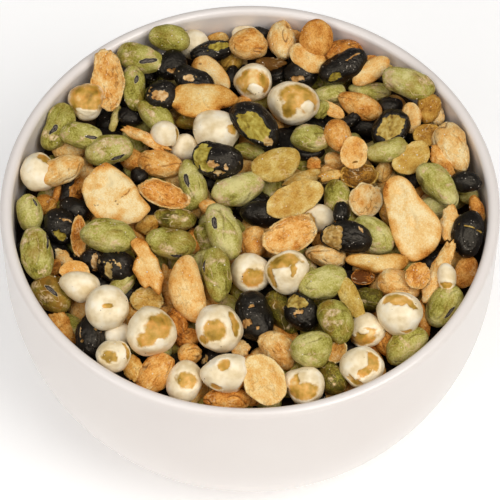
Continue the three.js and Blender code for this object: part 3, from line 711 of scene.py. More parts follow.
def half_form(ball, piece, seed):
    """A split bean with its cut side up, from flat to bulging."""
    z, bulge = ball[:, 2], piece["bulge"]
    round_rim = np.sqrt(np.clip(1 - z * z, 0, 1))
    spread = np.arcsin(np.clip(round_rim, 0, 1)) / (math.pi / 2) / np.maximum(round_rim, TINY)
    spread = np.where(z > 0, 1 + (spread - 1) * (1 - bulge), 1.0)
    x, y = ball[:, 0] * spread, ball[:, 1] * spread
    cut = 0.16 - 0.26 * (1 - round_rim**3)
    level = np.where(z > 0, cut + (0.8 * z - cut) * bulge, z)
    body = np.stack([x, y + piece["bend"] * (x * x - 0.4), level], 1) * piece["halves"]
    ridges = crease(body, 3.0, seed + 2, 0.04, 0.4) * patches(body, 3.0, seed + 6, 0.05, 0.3)
    lumps = waves(body, seed, (0.7, 4.5), (0.16, 1.8)) - 0.16 * ridges
    ragged = 0.5 * noise(body, 2.6, seed + 4) + 0.2 * noise(body, 1.0, seed + 7)
    ragged = ragged * (1 - 0.6 * bulge) * smooth_step(0.5, 1.0, round_rim)
    points = body.copy()
    points[:, 2] += np.where(z > 0, 1.0, -0.3) * lumps
    points[:, :2] += ball[:, :2] * ragged[:, None]
    edge = smooth_step(0.8, 1.0, round_rim) * (z > -0.1)
    tone = piece["tone"] + 0.35 * noise(body, 2.5, seed + 5) - 0.15 * edge * (1 - bulge)
    tone = tone + 0.12 * bulge * (1 - z)
    # The grooves of the ridges also go to the material as painted shade in them.
    return points, {"tone": tone, "shift": piece["shift"], "fold": 0.3 * ridges}


def ring_around(points):
    """For each point, the point of the unit circle in the same direction from the axis."""
    angle = np.arctan2(points[:, 1], points[:, 0])
    return np.stack([np.cos(angle), np.sin(angle), np.zeros_like(angle)], 1)


def hollow_form(ball, piece, seed):
    """A shell with a notched rim, open on top."""
    x, y, z = ball.T
    bulge = piece["bulge"]
    shrink = np.where(z > 0, 0.9, 1.0)
    level = np.where(z > 0, 0.08 - bulge * z, z * (0.3 + 0.7 * bulge))
    body = np.stack([x * shrink, y * shrink, level], 1) * piece["halves"]
    ring = ring_around(ball) * 3
    notch = noise(ring, 1.5, seed) + 0.5 * noise(ring, 0.6, seed + 6)
    near_rim = np.exp(-((z / 0.4) ** 2))
    body[:, 2] += near_rim * notch * piece["halves"][2] * 0.7 * (0.3 + bulge)
    body[:, :2] *= 1 + (near_rim * (0.12 * notch))[:, None]
    lumps = waves(body, seed + 1, (0.5, 3.5), (0.25, 1.5))
    points = body + np.array([0.3, 0.3, 1.0]) * lumps[:, None]
    # Painted shade: the inside of the shell is darker towards its bottom, the more so the deeper the shell.
    tone = piece["tone"] + 0.35 * bulge * smooth_step(0.05, 0.5, z) + 0.3 * noise(body, 2.5, seed + 4)
    return points, {"tone": tone - 0.06 * near_rim, "shift": piece["shift"], "fold": 0.0}


def slab(ball, thickness, rounding):
    """Share of the way out to the rim, and the height, over a flat slab with a rounded rim."""
    z = ball[:, 2]
    share = np.arccos(np.clip(np.abs(z), 0, 1)) / (math.pi / 2)
    height = np.sign(z) * thickness / 2 * np.sqrt(np.clip(1 - share**rounding, 0, 1))
    return share, height


def reach_of_outline(outline, centre, angles):
    """How far an outline lies from a centre inside it, in millimetres, along each angle."""
    corners = (np.array(outline, float) - centre) * (1, -1) / PIXELS_PER_MM
    reach = np.zeros(len(angles))
    direction = np.stack([np.cos(angles), np.sin(angles)], 1)
    for start, end in zip(corners, np.roll(corners, -1, axis=0)):
        side = end - start
        cross = direction[:, 0] * side[1] - direction[:, 1] * side[0]
        cross = np.where(np.abs(cross) < 1e-9, 1e-9, cross)
        far = (start[0] * side[1] - start[1] * side[0]) / cross
        along = (start[0] * direction[:, 1] - start[1] * direction[:, 0]) / cross
        hit = (far > 0) & (along >= -TINY) & (along <= 1 + TINY)
        reach = np.where(hit, np.maximum(reach, far), reach)
    return reach


def smooth_reach(piece, angle):
    """The smoothed outline of a slice, as its reach along an angle."""
    knots = np.linspace(-math.pi, math.pi, OUTLINE_STEPS + 1)
    reach = reach_of_outline(piece["outline"], piece["row"][:2], knots)
    window = np.hanning(piece["softness"])
    reach = np.convolve(np.tile(reach[:-1], 3), window / window.sum(), "same")
    return np.interp(angle, knots, reach[OUTLINE_STEPS : 2 * OUTLINE_STEPS + 1]) * piece["enlarge"]


def slice_form(ball, piece, seed):
    """A broad slice with an outline of its own, laid out in the directions of the picture."""
    angle = np.arctan2(ball[:, 1], ball[:, 0])
    rim = smooth_reach(piece, angle)
    share, height = slab(ball, 1.5, 8)
    flat = piece["axes"][2]
    plan = (share * rim)[:, None] * np.stack([np.cos(angle), np.sin(angle)], 1)
    world = np.outer(plan[:, 0], along_heading(0, flat)) + np.outer(plan[:, 1], along_heading(90, flat))
    body = world @ piece["axes"].T
    dented = smooth_step(-0.3, 0.9, strongest(flat_field, piece, plan, piece["dents"], 0.1, seed + 2))
    stains = smooth_step(-0.5, 0.6, strongest(flat_field, piece, plan, piece["stains"], 0.8, seed + 3))
    specks = smooth_step(-0.2, 0.3, strongest(flat_field, piece, plan, piece["specks"], 0.2, seed + 11))
    swell = waves(body, seed, (0.9, 7.0), (0.4, 3.2))
    small = 0.18 * noise(body, 1.4, seed + 7) + 0.05 * noise(body, 0.7, seed + 4)
    curl = 0.8 * smooth_step(0.6, 1.0, share) * noise(body, 5.0, seed + 8)
    fold = 0.6 * crease(body, 6.0, seed + 9, 0.05) * patches(body, 6.0, seed + 10, 0.0, 0.2)
    points = body.copy()
    points[:, 2] += height + piece["dome"] * (1 - share**2) + swell + small + curl
    points[:, 2] -= np.where(ball[:, 2] > 0, 0.8 * dented + 0.35 * fold, 0.0)
    toast = 0.34 * smooth_step(0.7, 1.0, share + 0.35 * noise(body, 3.0, seed + 5))
    # Low swells are painted darker and high ones lighter: painted shade and light over the slice's
    # unevenness.
    tone = piece["tone"] + toast + 0.28 * noise(body, 3.5, seed + 6) + 0.3 * stains - 0.12 * swell
    # Painted shade in the creases inside the stains, together with the real dark specks.
    fold = np.maximum(0.6 * fold * smooth_step(0.2, 0.6, stains), specks)
    return points, {"tone": tone, "shift": piece["shift"], "fold": fold}


def flake_form(ball, piece, seed):
    halves = piece["halves"]
    ring = ring_around(ball)
    rim = 1 + 0.45 * noise(ring * 2.5, 1.6, seed) + 0.22 * noise(ring * 2.5, 0.5, seed + 5)
    share, height = slab(ball, 0.6, 6)
    plan = (share * rim)[:, None] * ring[:, :2] * halves[:2]
    body = np.column_stack([plan, np.zeros(len(plan))])
    along, across = (plan / halves[:2]).T
    curl = -0.5 * halves[1] * across**2 - 0.12 * halves[0] * along**2
    points = body.copy()
    points[:, 2] += height + curl + waves(body, seed + 1, (0.7, 3.0), (0.25, 1.2))
    tone = piece["tone"] + waves(body, seed + 3, (0.35, 2.0), (0.15, 0.7)) + 0.1 * (share > 0.9)
    return points, {"tone": tone, "shift": piece["shift"], "fold": 0.0}


# ---------------------------------------------------------------- materials

WARM_GLOSS = (1.0, 0.87, 0.68, 1.0)
PLAIN_GLOSS = (1.0, 1.0, 1.0, 1.0)
FLOOR_GLOW = 0.21


def srgb(red, green, blue):
    """A colour as it is read from a screen, from 0 to 255, made linear."""
    linear = [((c / 255 + 0.055) / 1.055) ** 2.4 if c > 10 else c / 255 / 12.92 for c in (red, green, blue)]
    return (*linear, 1.0)


class Shader:
    """A material's node tree, written as short calls that give sockets back.

    Its noises lie in each piece's own grain, or in the object's millimetres where it isn't local.
    """

    def __init__(self, name, local=True):
        self.material = bpy.data.materials.new(name)
        self.material.use_nodes = True
        self.tree = self.material.node_tree
        self.surface = self.tree.nodes["Principled BSDF"]
        self.unit = 1.0 if local else METRE
        if local:
            self.coords = self.attribute("grain").outputs["Vector"]
        else:
            self.coords = self.tree.nodes.new("ShaderNodeTexCoord").outputs["Object"]

    def link(self, source, target):
        """Joins a socket to another, or sets a plain value."""
        if isinstance(source, bpy.types.NodeSocket):
            self.tree.links.new(source, target)
        else:
            target.default_value = source

    def attribute(self, name):
        node = self.tree.nodes.new("ShaderNodeAttribute")
        node.attribute_name = name
        return node

    def value(self, name):
        return self.attribute(name).outputs["Fac"]

    def stretched(self, stretch):
        node = self.tree.nodes.new("ShaderNodeVectorMath")
        node.operation = "MULTIPLY"
        self.link(self.coords, node.inputs[0])
        node.inputs[1].default_value = (stretch, 1.0, 1.0)
        return node.outputs["Vector"]

    def grain(self, wavelength, detail=3.0, rough=0.55, stretch=1.0):
        """Cloudy noise, 0 to 1 about 0.5, that varies over a wavelength in millimetres."""
        node = self.tree.nodes.new("ShaderNodeTexNoise")
        self.link(self.coords if stretch == 1.0 else self.stretched(stretch), node.inputs["Vector"])
        node.inputs["Scale"].default_value = 1.0 / (wavelength * self.unit)
        node.inputs["Detail"].default_value = detail
        node.inputs["Roughness"].default_value = rough
        return node.outputs["Fac"]

    def lines(self, wavelength, width, stretch=1.0, detail=1.0):
        """Thin wandering lines, 1 along their middles and 0 off them."""
        off = self.calc("SUBTRACT", self.grain(wavelength, detail, 0.5, stretch), 0.5)
        return self.span(self.calc("ABSOLUTE", off, 0.0), 0.0, width, 1.0, 0.0)

    def specks(self, spacing, low, high):
        """Small round dots, 1 inside them."""
        node = self.tree.nodes.new("ShaderNodeTexVoronoi")
        self.link(self.coords, node.inputs["Vector"])
        node.inputs["Scale"].default_value = 1.0 / (spacing * self.unit)
        return self.span(node.outputs["Distance"], low, high, 1.0, 0.0)

    def calc(self, operation, first, second):
        node = self.tree.nodes.new("ShaderNodeMath")
        node.operation = operation
        self.link(first, node.inputs[0])
        self.link(second, node.inputs[1])
        return node.outputs[0]

    def add(self, first, *others):
        for other in others:
            first = self.calc("ADD", first, other)
        return first

    def times(self, first, second):
        return self.calc("MULTIPLY", first, second)

    def about(self, source, share):
        """A 0 to 1 noise turned into plus or minus half a share."""
        return self.times(self.calc("SUBTRACT", source, 0.5), share)

    def span(self, source, low, high, to_low=0.0, to_high=1.0):
        node = self.tree.nodes.new("ShaderNodeMapRange")
        self.link(source, node.inputs["Value"])
        ends = {"From Min": low, "From Max": high, "To Min": to_low, "To Max": to_high}
        for key, number in ends.items():
            node.inputs[key].default_value = number
        return node.outputs["Result"]

    def ramp(self, source, *stops):
        """Colours along a value, each as its position and its red, green and blue."""
        node = self.tree.nodes.new("ShaderNodeValToRGB")
        self.link(source, node.inputs["Fac"])
        made = node.color_ramp.elements
        while len(made) < len(stops):
            made.new(0.5)
        for element, (position, *colour) in zip(made, stops):
            element.position = position
            element.color = srgb(*colour)
        return node.outputs["Color"]

    def mix(self, share, first, second):
        node = self.tree.nodes.new("ShaderNodeMix")
        node.data_type = "RGBA"
        sockets = [socket for socket in node.inputs if socket.type == "RGBA"]
        self.link(share, node.inputs[0])
        self.link(first, sockets[0])
        self.link(second, sockets[1])
        return [socket for socket in node.outputs if socket.type == "RGBA"][0]

    def finish(self, colour, roughness, specular, height=None, bump=0.0, gloss=PLAIN_GLOSS):
        self.link(colour, self.surface.inputs["Base Color"])
        self.link(roughness, self.surface.inputs["Roughness"])
        self.surface.inputs["Specular IOR Level"].default_value = specular
        self.surface.inputs["Specular Tint"].default_value = gloss
        if height is None:
            return self.material
        node = self.tree.nodes.new("ShaderNodeBump")
        node.inputs["Strength"].default_value = 1.0
        node.inputs["Distance"].default_value = bump * METRE
        self.link(height, node.inputs["Height"])
        self.link(node.outputs["Normal"], self.surface.inputs["Normal"])
        return self.material


def green_material():
    s = Shader("green_skin")
    streaks = s.grain(1.1, 3.0, 0.6, 0.3)
    fine = s.about(s.grain(0.4, 2.0), 0.9)
    tone = s.add(s.value("tone"), s.about(s.grain(2.2), 0.7), s.about(streaks, 0.5), fine)
    greens = [(0.05, 78, 68, 14), (0.35, 143, 133, 48), (0.62, 180, 170, 88), (0.95, 212, 200, 134)]
    skin = s.ramp(tone, *greens)
    brown = s.add(s.about(s.grain(3.6), 2.4), s.value("shift"))
    skin = s.mix(s.span(brown, 0.1, 1.1, 0.0, 0.85), skin, srgb(146, 98, 30))
    # Painted shade in the creases: a dark olive brown laid into the folds.
    skin = s.mix(s.span(s.value("fold"), 0.2, 1.0, 0.0, 0.7), skin, srgb(98, 80, 28))
    pale = s.ramp(s.grain(0.9), (0.3, 190, 152, 98), (0.7, 232, 208, 166))
    scratch = s.times(s.lines(2.4, 0.022, 0.5), s.span(s.grain(3.0), 0.48, 0.6))
    rub = s.times(s.value("bare"), s.span(s.grain(0.7), 0.34, 0.56))
    skin = s.mix(s.calc("MAXIMUM", scratch, rub), skin, pale)
    eye = s.span(s.add(s.value("eye"), s.about(s.grain(0.5), 0.5)), -1.0, 1.0)
    greys = [(0.38, 206, 190, 150), (0.46, 60, 50, 42), (0.56, 26, 24, 25)]
    greys += [(0.74, 112, 102, 92), (0.92, 46, 42, 42)]
    scar = s.ramp(eye, *greys)
    skin = s.mix(s.span(eye, 0.34, 0.42), skin, scar)
    height = s.add(s.about(s.grain(0.8, 4.0), 1.0), s.about(s.grain(0.3), 0.35), s.about(streaks, 0.5))
    return s.finish(skin, s.span(s.grain(1.5), 0.3, 0.7, 0.5, 0.7), 0.24, height, 0.3, WARM_GLOSS)


def black_material():
    s = Shader("black_skin")
    tone = s.add(s.value("tone"), s.about(s.grain(1.4), 1.0))
    skin = s.ramp(tone, (0.2, 7, 6, 5), (0.65, 20, 17, 16), (1.0, 50, 45, 39))
    dust = s.times(s.specks(0.8, 0.10, 0.2), s.span(s.grain(1.6), 0.5, 0.6))
    skin = s.mix(dust, skin, srgb(196, 184, 168))
    olive = s.ramp(tone, (0.1, 92, 72, 18), (0.5, 158, 136, 44), (0.9, 196, 180, 88))
    tan = s.ramp(tone, (0.1, 120, 74, 28), (0.5, 190, 142, 80), (0.9, 228, 196, 146))
    flesh = s.mix(s.value("flesh"), olive, tan)
    bare = s.value("bare")
    colour = s.mix(s.span(bare, 0.4, 0.6), skin, flesh)
    height = s.add(s.about(s.grain(0.7, 4.0), 1.0), s.about(s.grain(0.25), 0.3))
    return s.finish(colour, s.span(bare, 0.0, 1.0, 0.34, 0.7), 0.38, height, 0.24, WARM_GLOSS)


def toast(s, tone):
    """The colours of toasted bean, from cream to dark brown, and the same turned olive."""
    creams = [(0.0, 243, 220, 168), (0.25, 234, 193, 124)]
    browns = [(0.5, 223, 160, 78), (0.75, 190, 116, 40), (1.0, 104, 56, 18)]
    olives = [(0.0, 214, 196, 116), (0.4, 176, 148, 56), (0.8, 134, 104, 34), (1.0, 92, 66, 20)]
    return s.mix(s.value("shift"), s.ramp(tone, *creams, *browns), s.ramp(tone, *olives))


def toast_material(name, mottle, bump, cracks):
    """Toasted skin, by how blotched, how rough and how cracked it is, with painted shade in its cracks and
    creases.
    """
    s = Shader(name)
    small = s.about(s.grain(0.6, 2.0, 0.5, 0.5), mottle * 0.5)
    fine = s.about(s.grain(0.35, 2.0), 0.7)
    tone = s.add(s.value("tone"), s.about(s.grain(2.0, 4.0), mottle), small, fine)
    colour = toast(s, tone)
    # Thin dark lines along the cracks, grooved by the bump below: painted shade in the cracks.
    flake = s.times(s.lines(2.2, 0.03, 0.6, 2.0), s.span(s.grain(2.6), 0.46, 0.56))
    colour = s.mix(s.times(flake, cracks), colour, srgb(120, 68, 22))
    light = s.times(s.lines(1.7, 0.035, 0.6, 2.0), s.span(s.grain(3.0), 0.5, 0.6))
    colour = s.mix(s.times(light, cracks), colour, srgb(250, 226, 178))
    # Painted shade in creases and cracks: dark brown where the crease value is high; on slices it also
    # carries real dark specks.
    colour = s.mix(s.span(s.value("fold"), 0.1, 1.0, 0.0, 0.8), colour, srgb(112, 62, 20))
    height = s.add(s.about(s.grain(0.8, 4.0, 0.6), 1.0), s.about(s.grain(0.28), 0.4))
    height = s.calc("SUBTRACT", height, s.times(flake, 0.5 * cracks))
    return s.finish(colour, s.span(s.grain(1.2), 0.3, 0.7, 0.55, 0.7), 0.22, height, bump, WARM_GLOSS)


def coat_material():
    s = Shader("coated_pea")
    tone = s.add(s.value("tone"), s.about(s.grain(1.6), 0.8))
    peas = [(0.05, 136, 104, 28), (0.4, 184, 142, 54), (0.7, 222, 168, 86), (0.95, 236, 204, 140)]
    pea = s.ramp(tone, *peas)
    orange = s.times(s.span(s.grain(4.0), 0.54, 0.66), 0.45)
    pea = s.mix(orange, pea, srgb(226, 146, 62))
    coat = s.ramp(tone, (0.1, 222, 198, 152), (0.6, 246, 229, 194), (0.9, 252, 240, 214))
    edge = s.add(s.value("bare"), s.about(s.grain(0.9), 0.5))
    colour = s.mix(s.span(edge, 0.2, 0.75), coat, pea)
    specks = s.times(s.specks(2.2, 0.06, 0.1), s.span(s.grain(2.0), 0.52, 0.56))
    colour = s.mix(specks, colour, srgb(96, 68, 38))
    height = s.add(s.about(s.grain(1.4, 3.0), 1.0), s.about(s.grain(0.35), 0.2))
    return s.finish(colour, s.span(s.value("bare"), 0.0, 1.0, 0.42, 0.45), 0.35, height, 0.14, WARM_GLOSS)


def heap_shade_material():
    s = Shader("heap_shade", local=False)
    # Painted shade: very dark browns, for the gaps between the beans.
    colour = s.ramp(s.grain(6.0), (0.35, 22, 14, 6), (0.6, 54, 36, 14))
    return s.finish(colour, 0.8, 0.2, s.grain(2.0), 1.0)


def glaze_material():
    s = Shader("glaze", local=False)
    colour = s.ramp(s.grain(30.0, 2.0), (0.3, 231, 222, 216), (0.7, 234, 226, 220))
    s.surface.inputs["Coat Weight"].default_value = 0.25
    s.surface.inputs["Coat Roughness"].default_value = 0.12
    return s.finish(colour, 0.3, 0.5)


def salt_material():
    s = Shader("salt", local=False)
    colour = s.ramp(s.grain(2.0), (0.3, 206, 190, 164), (0.7, 240, 230, 212))
    return s.finish(colour, 0.4, 0.5)


def floor_material():
    s = Shader("floor", local=False)
    colour = s.ramp(s.grain(80.0), (0.3, 252, 251, 250), (0.7, 254, 253, 252))
    s.surface.inputs["Emission Color"].default_value = (1.0, 0.99, 0.98, 1.0)
    s.surface.inputs["Emission Strength"].default_value = FLOOR_GLOW
    return s.finish(colour, 0.9, 0.1)


# ---------------------------------------------------------------- the heap

# Each kind: its rows, form and material, how thick it is for its width or in itself, how far it
# turns towards the eye, how finely it is gridded, and its marks.
KINDS = {
    "green_soybeans": dict(
        rows=GREEN_BEANS, form=green_form, material=green_material(),
        thick=0.92, turn=0.4, steps=18,
        marks={"eyes": SEED_EYES, "rubs": RUBBED_SKIN},
    ),
    "black_soybeans": dict(
        rows=BLACK_BEANS, form=black_form, material=black_material(),
        thick=0.9, turn=0.4, steps=20,
        marks={"tears": TORN_SKIN},
    ),
    "golden_soybeans": dict(
        rows=GOLDEN_BEANS, form=golden_form, material=toast_material("golden_bean", 0.75, 0.34, 0.35),
        thick=0.9, turn=0.4, steps=20,
    ),
    "coated_peas": dict(
        rows=COATED_PEAS, form=coated_form, material=coat_material(),
        thick=0.95, turn=0.5, steps=20,
        marks={"openings": COAT_OPENINGS, "islands": COAT_ISLANDS},
    ),
    "split_halves": dict(
        rows=SPLIT_HALVES, form=half_form, material=toast_material("split_half", 0.6, 0.24, 0.3),
        thick=0.8, turn=0.7, steps=20,
    ),
    "hollow_skins": dict(
        rows=HOLLOW_SKINS, form=hollow_form, material=toast_material("hollow_skin", 0.9, 0.34, 0.6),
        thick=0.85, turn=0.6, steps=22,
    ),
    "broad_slices": dict(
        rows=BROAD_SLICES, form=slice_form, material=toast_material("broad_slice", 0.5, 0.26, 0.0),
        slab=2.8, turn=0.75, steps=32,
        marks={"dents": SLICE_DENTS, "stains": SLICE_STAINS, "specks": SLICE_SPECKS},
    ),
    "flakes": dict(
        rows=FLAKES, form=flake_form, material=toast_material("flake", 0.8, 0.3, 0.5),
        slab=1.5, turn=0.6, steps=14,
    ),
}
TUCKED_STEPS = 12
HEAP_SEED = 5

# What a row leaves open is drawn between these.
DRAWN = {"bend": (-0.16, 0.2), "taper": (-0.14, 0.14), "tone": (0.4, 0.68), "shift": (0.0, 0.2)}
WEAR = (-0.28, 0.06)
CHIPS = (0.36, 0.7)
USUAL_BULGE = 0.5
DARK_TONE = 0.3

# Plain beans that fill gaps between the pieces, and others that close the heap under them.
FILLER_KINDS = ["green_soybeans", "black_soybeans", "golden_soybeans"]
FILLER_SPOTS = 200
FILLER_SIZE = (9.6, 6.4, 6.4)
FILLER_ROOM = 2.2
FILLER_STEPS = 6
DEEP_SPOTS = 170
DEEP_SIZE = (9.6, 6.4, 6.0)
DEEP_DROP = 6.0
DEEP_MARGIN = 5.0
DEEP_TURN = 1.7
GOLDEN_ANGLE = math.pi * (3 - math.sqrt(5))


def listed_pieces():
    """Kind, number and row of each piece, from the deepest layer up, with the tucked ones last."""
    listed = [(name, index, row) for name, kind in KINDS.items() for index, row in enumerate(kind["rows"])]
    listed.sort(key=lambda entry: entry[2][5])
    for name, rows in TUCKED.items():
        listed += [(name, index, row) for index, row in enumerate(rows, len(KINDS[name]["rows"]))]
    return listed


def place_pieces(ground):
    placed = []
    for name, index, row in listed_pieces():
        column, line, heading, length, width, layer = row[:6]
        place, ray = place_on_heap(column, line)
        kind = KINDS[name]
        axes, foreshortening = piece_axes(heading, kind["turn"])
        enlarge = np.linalg.norm(place - EYE) / EYE_DISTANCE
        thickness = kind["slab"] if "slab" in kind else kind["thick"] * width
        halves = np.array([length * foreshortening, width, thickness]) * enlarge / 2
        place = ground.settle(place, ray, axes, halves, layer)
        piece = dict(name=name, index=index, row=row, place=place, axes=axes, halves=halves, enlarge=enlarge)
        placed.append(piece)
    return placed


def spiral(count, reach, turn):
    """Spots spread evenly over a disc: their numbers, radii and places."""
    for spot in range(count):
        radius = reach * math.sqrt((spot + 0.5) / count)
        yield spot, radius, radius * math.cos(spot * turn), radius * math.sin(spot * turn)


def place_fillers(ground, placed):
    fillers = []
    halves = np.array(FILLER_SIZE) / 2
    for spot, radius, x, y in spiral(FILLER_SPOTS, INNER_RADIUS, GOLDEN_ANGLE):
        place = np.array([x, y, BOWL_HEIGHT - heap_depth(radius)])
        gaps = [
            math.hypot(*(other["place"] - place)[:2]) - other["halves"][:2].sum() / 2
            for other in placed + fillers
        ]
        if min(gaps) > FILLER_ROOM:
            axes, _ = piece_axes(math.degrees(spot), 0.0)
            place = ground.settle(place, -ZENITH, axes, halves, 0)
            fillers.append(dict(place=place, axes=axes, halves=halves))
    return fillers


def place_deep():
    deep = []
    halves = np.array(DEEP_SIZE) / 2
    for spot, radius, x, y in spiral(DEEP_SPOTS, INNER_RADIUS - DEEP_MARGIN, -GOLDEN_ANGLE):
        place = np.array([x, y, BOWL_HEIGHT - heap_depth(radius) - DEEP_DROP])
        axes, _ = piece_axes(math.degrees(spot * DEEP_TURN), 0.0)
        deep.append(dict(place=place, axes=axes, halves=halves))
    return deep


def dress(piece, luck):
    """Values that a piece's form asks for and that its row leaves open."""
    for key, (low, high) in DRAWN.items():
        piece[key] = luck.uniform(low, high)
    piece["bulge"] = USUAL_BULGE
    piece.update(zip(("tone", "shift", "bulge", "bend"), piece.get("row", [])[6:]))
    piece["wear"] = luck.uniform(*WEAR) - max(DARK_TONE - piece["tone"], 0.0)
    piece["chips"] = luck.uniform(*CHIPS)
    for kind in KINDS.values():
        for key in kind.get("marks", {}):
            piece.setdefault(key, [])


def add_piece(batch, form, ball, faces, piece, luck):
    points, values = form(ball, piece, int(luck.integers(1, 90)))
    grain = points + luck.uniform(-300, 300, 3)
    batch.add(piece["place"] + points @ piece["axes"], faces, grain=grain, **values)


def build_heap():
    luck = np.random.default_rng(HEAP_SEED)
    ground = Ground()
    placed = place_pieces(ground)
    fillers = place_fillers(ground, placed)
    batches = {name: Batch() for name in KINDS}
    for name, kind in KINDS.items():
        pieces = [piece for piece in placed if piece["name"] == name]
        pieces.sort(key=lambda piece: piece["index"])
        grid, coarse_grid = round_cube(kind["steps"]), round_cube(TUCKED_STEPS)
        for piece in pieces:
            index = piece["index"]
            for key, marks in kind.get("marks", {}).items():
                piece[key] = marks_near(piece, pieces, marks)
            if name == "broad_slices":
                piece.update(SLICE_SHAPES[index])
            dress(piece, luck)
            ball, faces = grid if index < len(kind["rows"]) else coarse_grid
            add_piece(batches[name], kind["form"], ball, faces, piece, luck)
    ball, faces = round_cube(FILLER_STEPS)
    for index, piece in enumerate(fillers + place_deep()):
        name = FILLER_KINDS[index % len(FILLER_KINDS)]
        dress(piece, luck)
        add_piece(batches[name], KINDS[name]["form"], ball, faces, piece, luck)
    for name, batch in batches.items():
        batch.build(name, KINDS[name]["material"], "bean_mix", "beans")
    return batches


SALT_SEED = 23
SALT_SPOTS = 9000
SALT_GRAINS = 420
SALT_SIZE = (0.07, 0.19)
SALT_STRETCH = (0.7, 1.3)
SALT_LEVEL = 1.0


def scatter_salt(batches):
    """Grains of salt on the upper sides of the pieces."""
    luck = np.random.default_rng(SALT_SEED)
    ball, faces = round_cube(2)
    surfaces = np.concatenate([np.concatenate(batch.points) for batch in batches.values()])
    spots = surfaces[luck.choice(len(surfaces), SALT_SPOTS, replace=False)]
    level = BOWL_HEIGHT - heap_depth(np.hypot(spots[:, 0], spots[:, 1])) + SALT_LEVEL
    salt = Batch()
    for spot in spots[spots[:, 2] >= level][:SALT_GRAINS]:
        size = luck.uniform(*SALT_SIZE)
        salt.add(spot + ball * size * luck.uniform(*SALT_STRETCH, 3), faces)
    salt.build("salt_grains", salt_material(), "bean_mix", "beans")


# ---------------------------------------------------------------- the core and the bowl

AXIS_RADIUS = 0.01
CORE_DROP = DEEP_DROP + 1.5
CORE_MARGIN = 0.5
CORE_RINGS = 40
CORE_SIDES = 160
BOWL_SIDES = 192


def turned_surface(profile, sides):
    """Points and faces of a profile, as rows of radius and level, turned about the axis."""
    angles = np.arange(sides) * 2 * math.pi / sides
    rings = [
        np.stack([radius * np.cos(angles), radius * np.sin(angles), np.full(sides, level)], 1)
        for radius, level in profile
    ]
    points = np.concatenate(rings)
    index = np.arange(len(points)).reshape(len(profile), sides)
    turned = np.roll(index, -1, axis=1)
    faces = np.stack([index[:-1], turned[:-1], turned[1:], index[1:]], -1).reshape(-1, 4)
    return points, faces


def arc_on_axis(radius, centre_level, from_level, to_level, steps):
    angles = np.arcsin((np.array([from_level, to_level]) - centre_level) / radius)
    angles = np.linspace(angles[0], angles[1], steps + 1)
    return [(radius * math.cos(a), centre_level + radius * math.sin(a)) for a in angles]


def rounded(points, radius, steps=5):
    """A profile whose inner corners are replaced by short curves."""
    made = [points[0]]
    for before, corner, after in zip(points, points[1:], points[2:]):
        corner = np.array(corner)
        start = corner + unit(np.array(before) - corner) * radius
        end = corner + unit(np.array(after) - corner) * radius
        for k in range(steps + 1):
            t = k / steps
            made.append(tuple((1 - t) ** 2 * start + 2 * t * (1 - t) * corner + t * t * end))
    made.append(points[-1])
    return made


def build_core():
    """A dark rough sheet under the beans, painted shade that shows in the gaps between them."""
    radii = np.linspace(CORE_MARGIN, INNER_RADIUS - CORE_MARGIN, CORE_RINGS)
    profile = [(radius, BOWL_HEIGHT - heap_depth(radius) - CORE_DROP) for radius in radii]
    points, faces = turned_surface(profile, CORE_SIDES)
    points[:, 2] += waves(points, 3, (1.6, 7.0), (0.8, 3.0))
    batch = Batch()
    batch.add(points, faces)
    batch.build("heap_core", heap_shade_material(), "bean_mix", "beans")


def build_bowl():
    centre_level = BOWL_HEIGHT - STRAIGHT_DEPTH
    foot = [
        (AXIS_RADIUS, FOOT_RECESS),
        (FOOT_RADIUS - FOOT_WIDTH - FOOT_SLOPE, FOOT_RECESS),
        (FOOT_RADIUS - FOOT_WIDTH, 0.0),
        (FOOT_RADIUS, 0.0),
        (FOOT_RADIUS + FOOT_LEAN, FOOT_HEIGHT),
        (FOOT_RADIUS + FOOT_FLARE, FOOT_HEIGHT + FLARE_RISE),
    ]
    profile = rounded(foot, FOOT_ROUNDING)
    profile += arc_on_axis(RIM_RADIUS, centre_level, FOOT_HEIGHT + WALL_START, centre_level, 30)
    lip = WALL / 2
    for angle in np.linspace(0, math.pi, 17):
        across = RIM_RADIUS - lip + lip * math.cos(angle)
        profile.append((across, BOWL_HEIGHT - lip + lip * math.sin(angle)))
    bend_level = FLOOR_LEVEL + FLOOR_BEND
    profile += arc_on_axis(INNER_RADIUS, centre_level, centre_level, bend_level, 20)
    floor_edge = float(inner_radius_at(bend_level))
    profile.append((floor_edge - FLOOR_BEND, FLOOR_LEVEL + FLOOR_SAG))
    profile += [(floor_edge - FLOOR_MARGIN, FLOOR_LEVEL), (AXIS_RADIUS, FLOOR_LEVEL)]
    batch = Batch()
    batch.add(*turned_surface(profile, BOWL_SIDES))
    batch.build("white_bowl", glaze_material(), "bowl", "glaze")


# ---------------------------------------------------------------- table, light and camera

TABLE_REACH = 3.0
WORLD_LIGHT = 0.13
WHITE = (1.0, 1.0, 1.0)

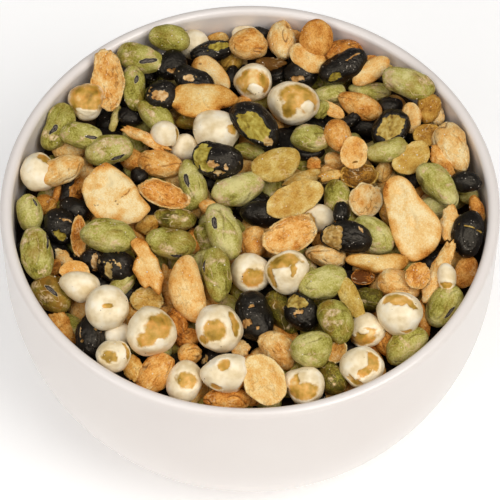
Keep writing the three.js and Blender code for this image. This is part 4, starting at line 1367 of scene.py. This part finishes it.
# Soft round lights: name, place and size in metres, power in watts, colour.
LIGHTS = [
    ("key", (0.35, -0.3, 0.7), 0.5, 3.65, (1.0, 0.99, 0.97)),
    ("top", (0.0, -0.1, 0.9), 0.6, 1.75, WHITE),
    ("fill", (-0.4, -0.4, 0.6), 0.6, 2.1, WHITE),
]


def build_floor():
    mesh = bpy.data.meshes.new("floor")
    sides = ((-1, -1), (1, -1), (1, 1), (-1, 1))
    mesh.from_pydata([(x * TABLE_REACH, y * TABLE_REACH, 0) for x, y in sides], [], [(0, 1, 2, 3)])
    mesh.materials.append(floor_material())
    floor = bpy.data.objects.new("floor", mesh)
    bpy.context.scene.collection.objects.link(floor)


def build_lights():
    world = bpy.data.worlds.new("studio")
    world.use_nodes = True
    background = world.node_tree.nodes["Background"]
    background.inputs["Color"].default_value = (*WHITE, 1.0)
    background.inputs["Strength"].default_value = WORLD_LIGHT
    bpy.context.scene.world = world
    for name, place, size, power, colour in LIGHTS:
        data = bpy.data.lights.new(name, "AREA")
        data.shape = "DISK"
        data.size = size
        data.energy = power
        data.color = colour
        light = bpy.data.objects.new(name, data)
        light.location = place
        aim = Vector((0, 0, BOWL_HEIGHT * METRE)) - Vector(place)
        light.rotation_euler = aim.to_track_quat("-Z", "Y").to_euler()
        bpy.context.scene.collection.objects.link(light)


def build_camera():
    data = bpy.data.cameras.new("camera")
    data.sensor_width = 36.0
    data.lens = PIXELS_PER_RADIAN / IMAGE_SIZE * data.sensor_width
    data.clip_start = 0.01
    data.clip_end = 10.0
    camera = bpy.data.objects.new("camera", data)
    camera.location = Vector(EYE * METRE)
    tilt = math.atan((IMAGE_SIZE / 2 - RIM_ROW) / PIXELS_PER_RADIAN)
    camera.rotation_euler = (math.pi / 2 - EYE_ELEVATION - tilt, 0.0, 0.0)
    bpy.context.scene.collection.objects.link(camera)
    bpy.context.scene.camera = camera


build_bowl()
build_core()
heap_batches = build_heap()
scatter_salt(heap_batches)
build_floor()
build_lights()
build_camera()
bpy.context.scene.view_settings.view_transform = "Standard"
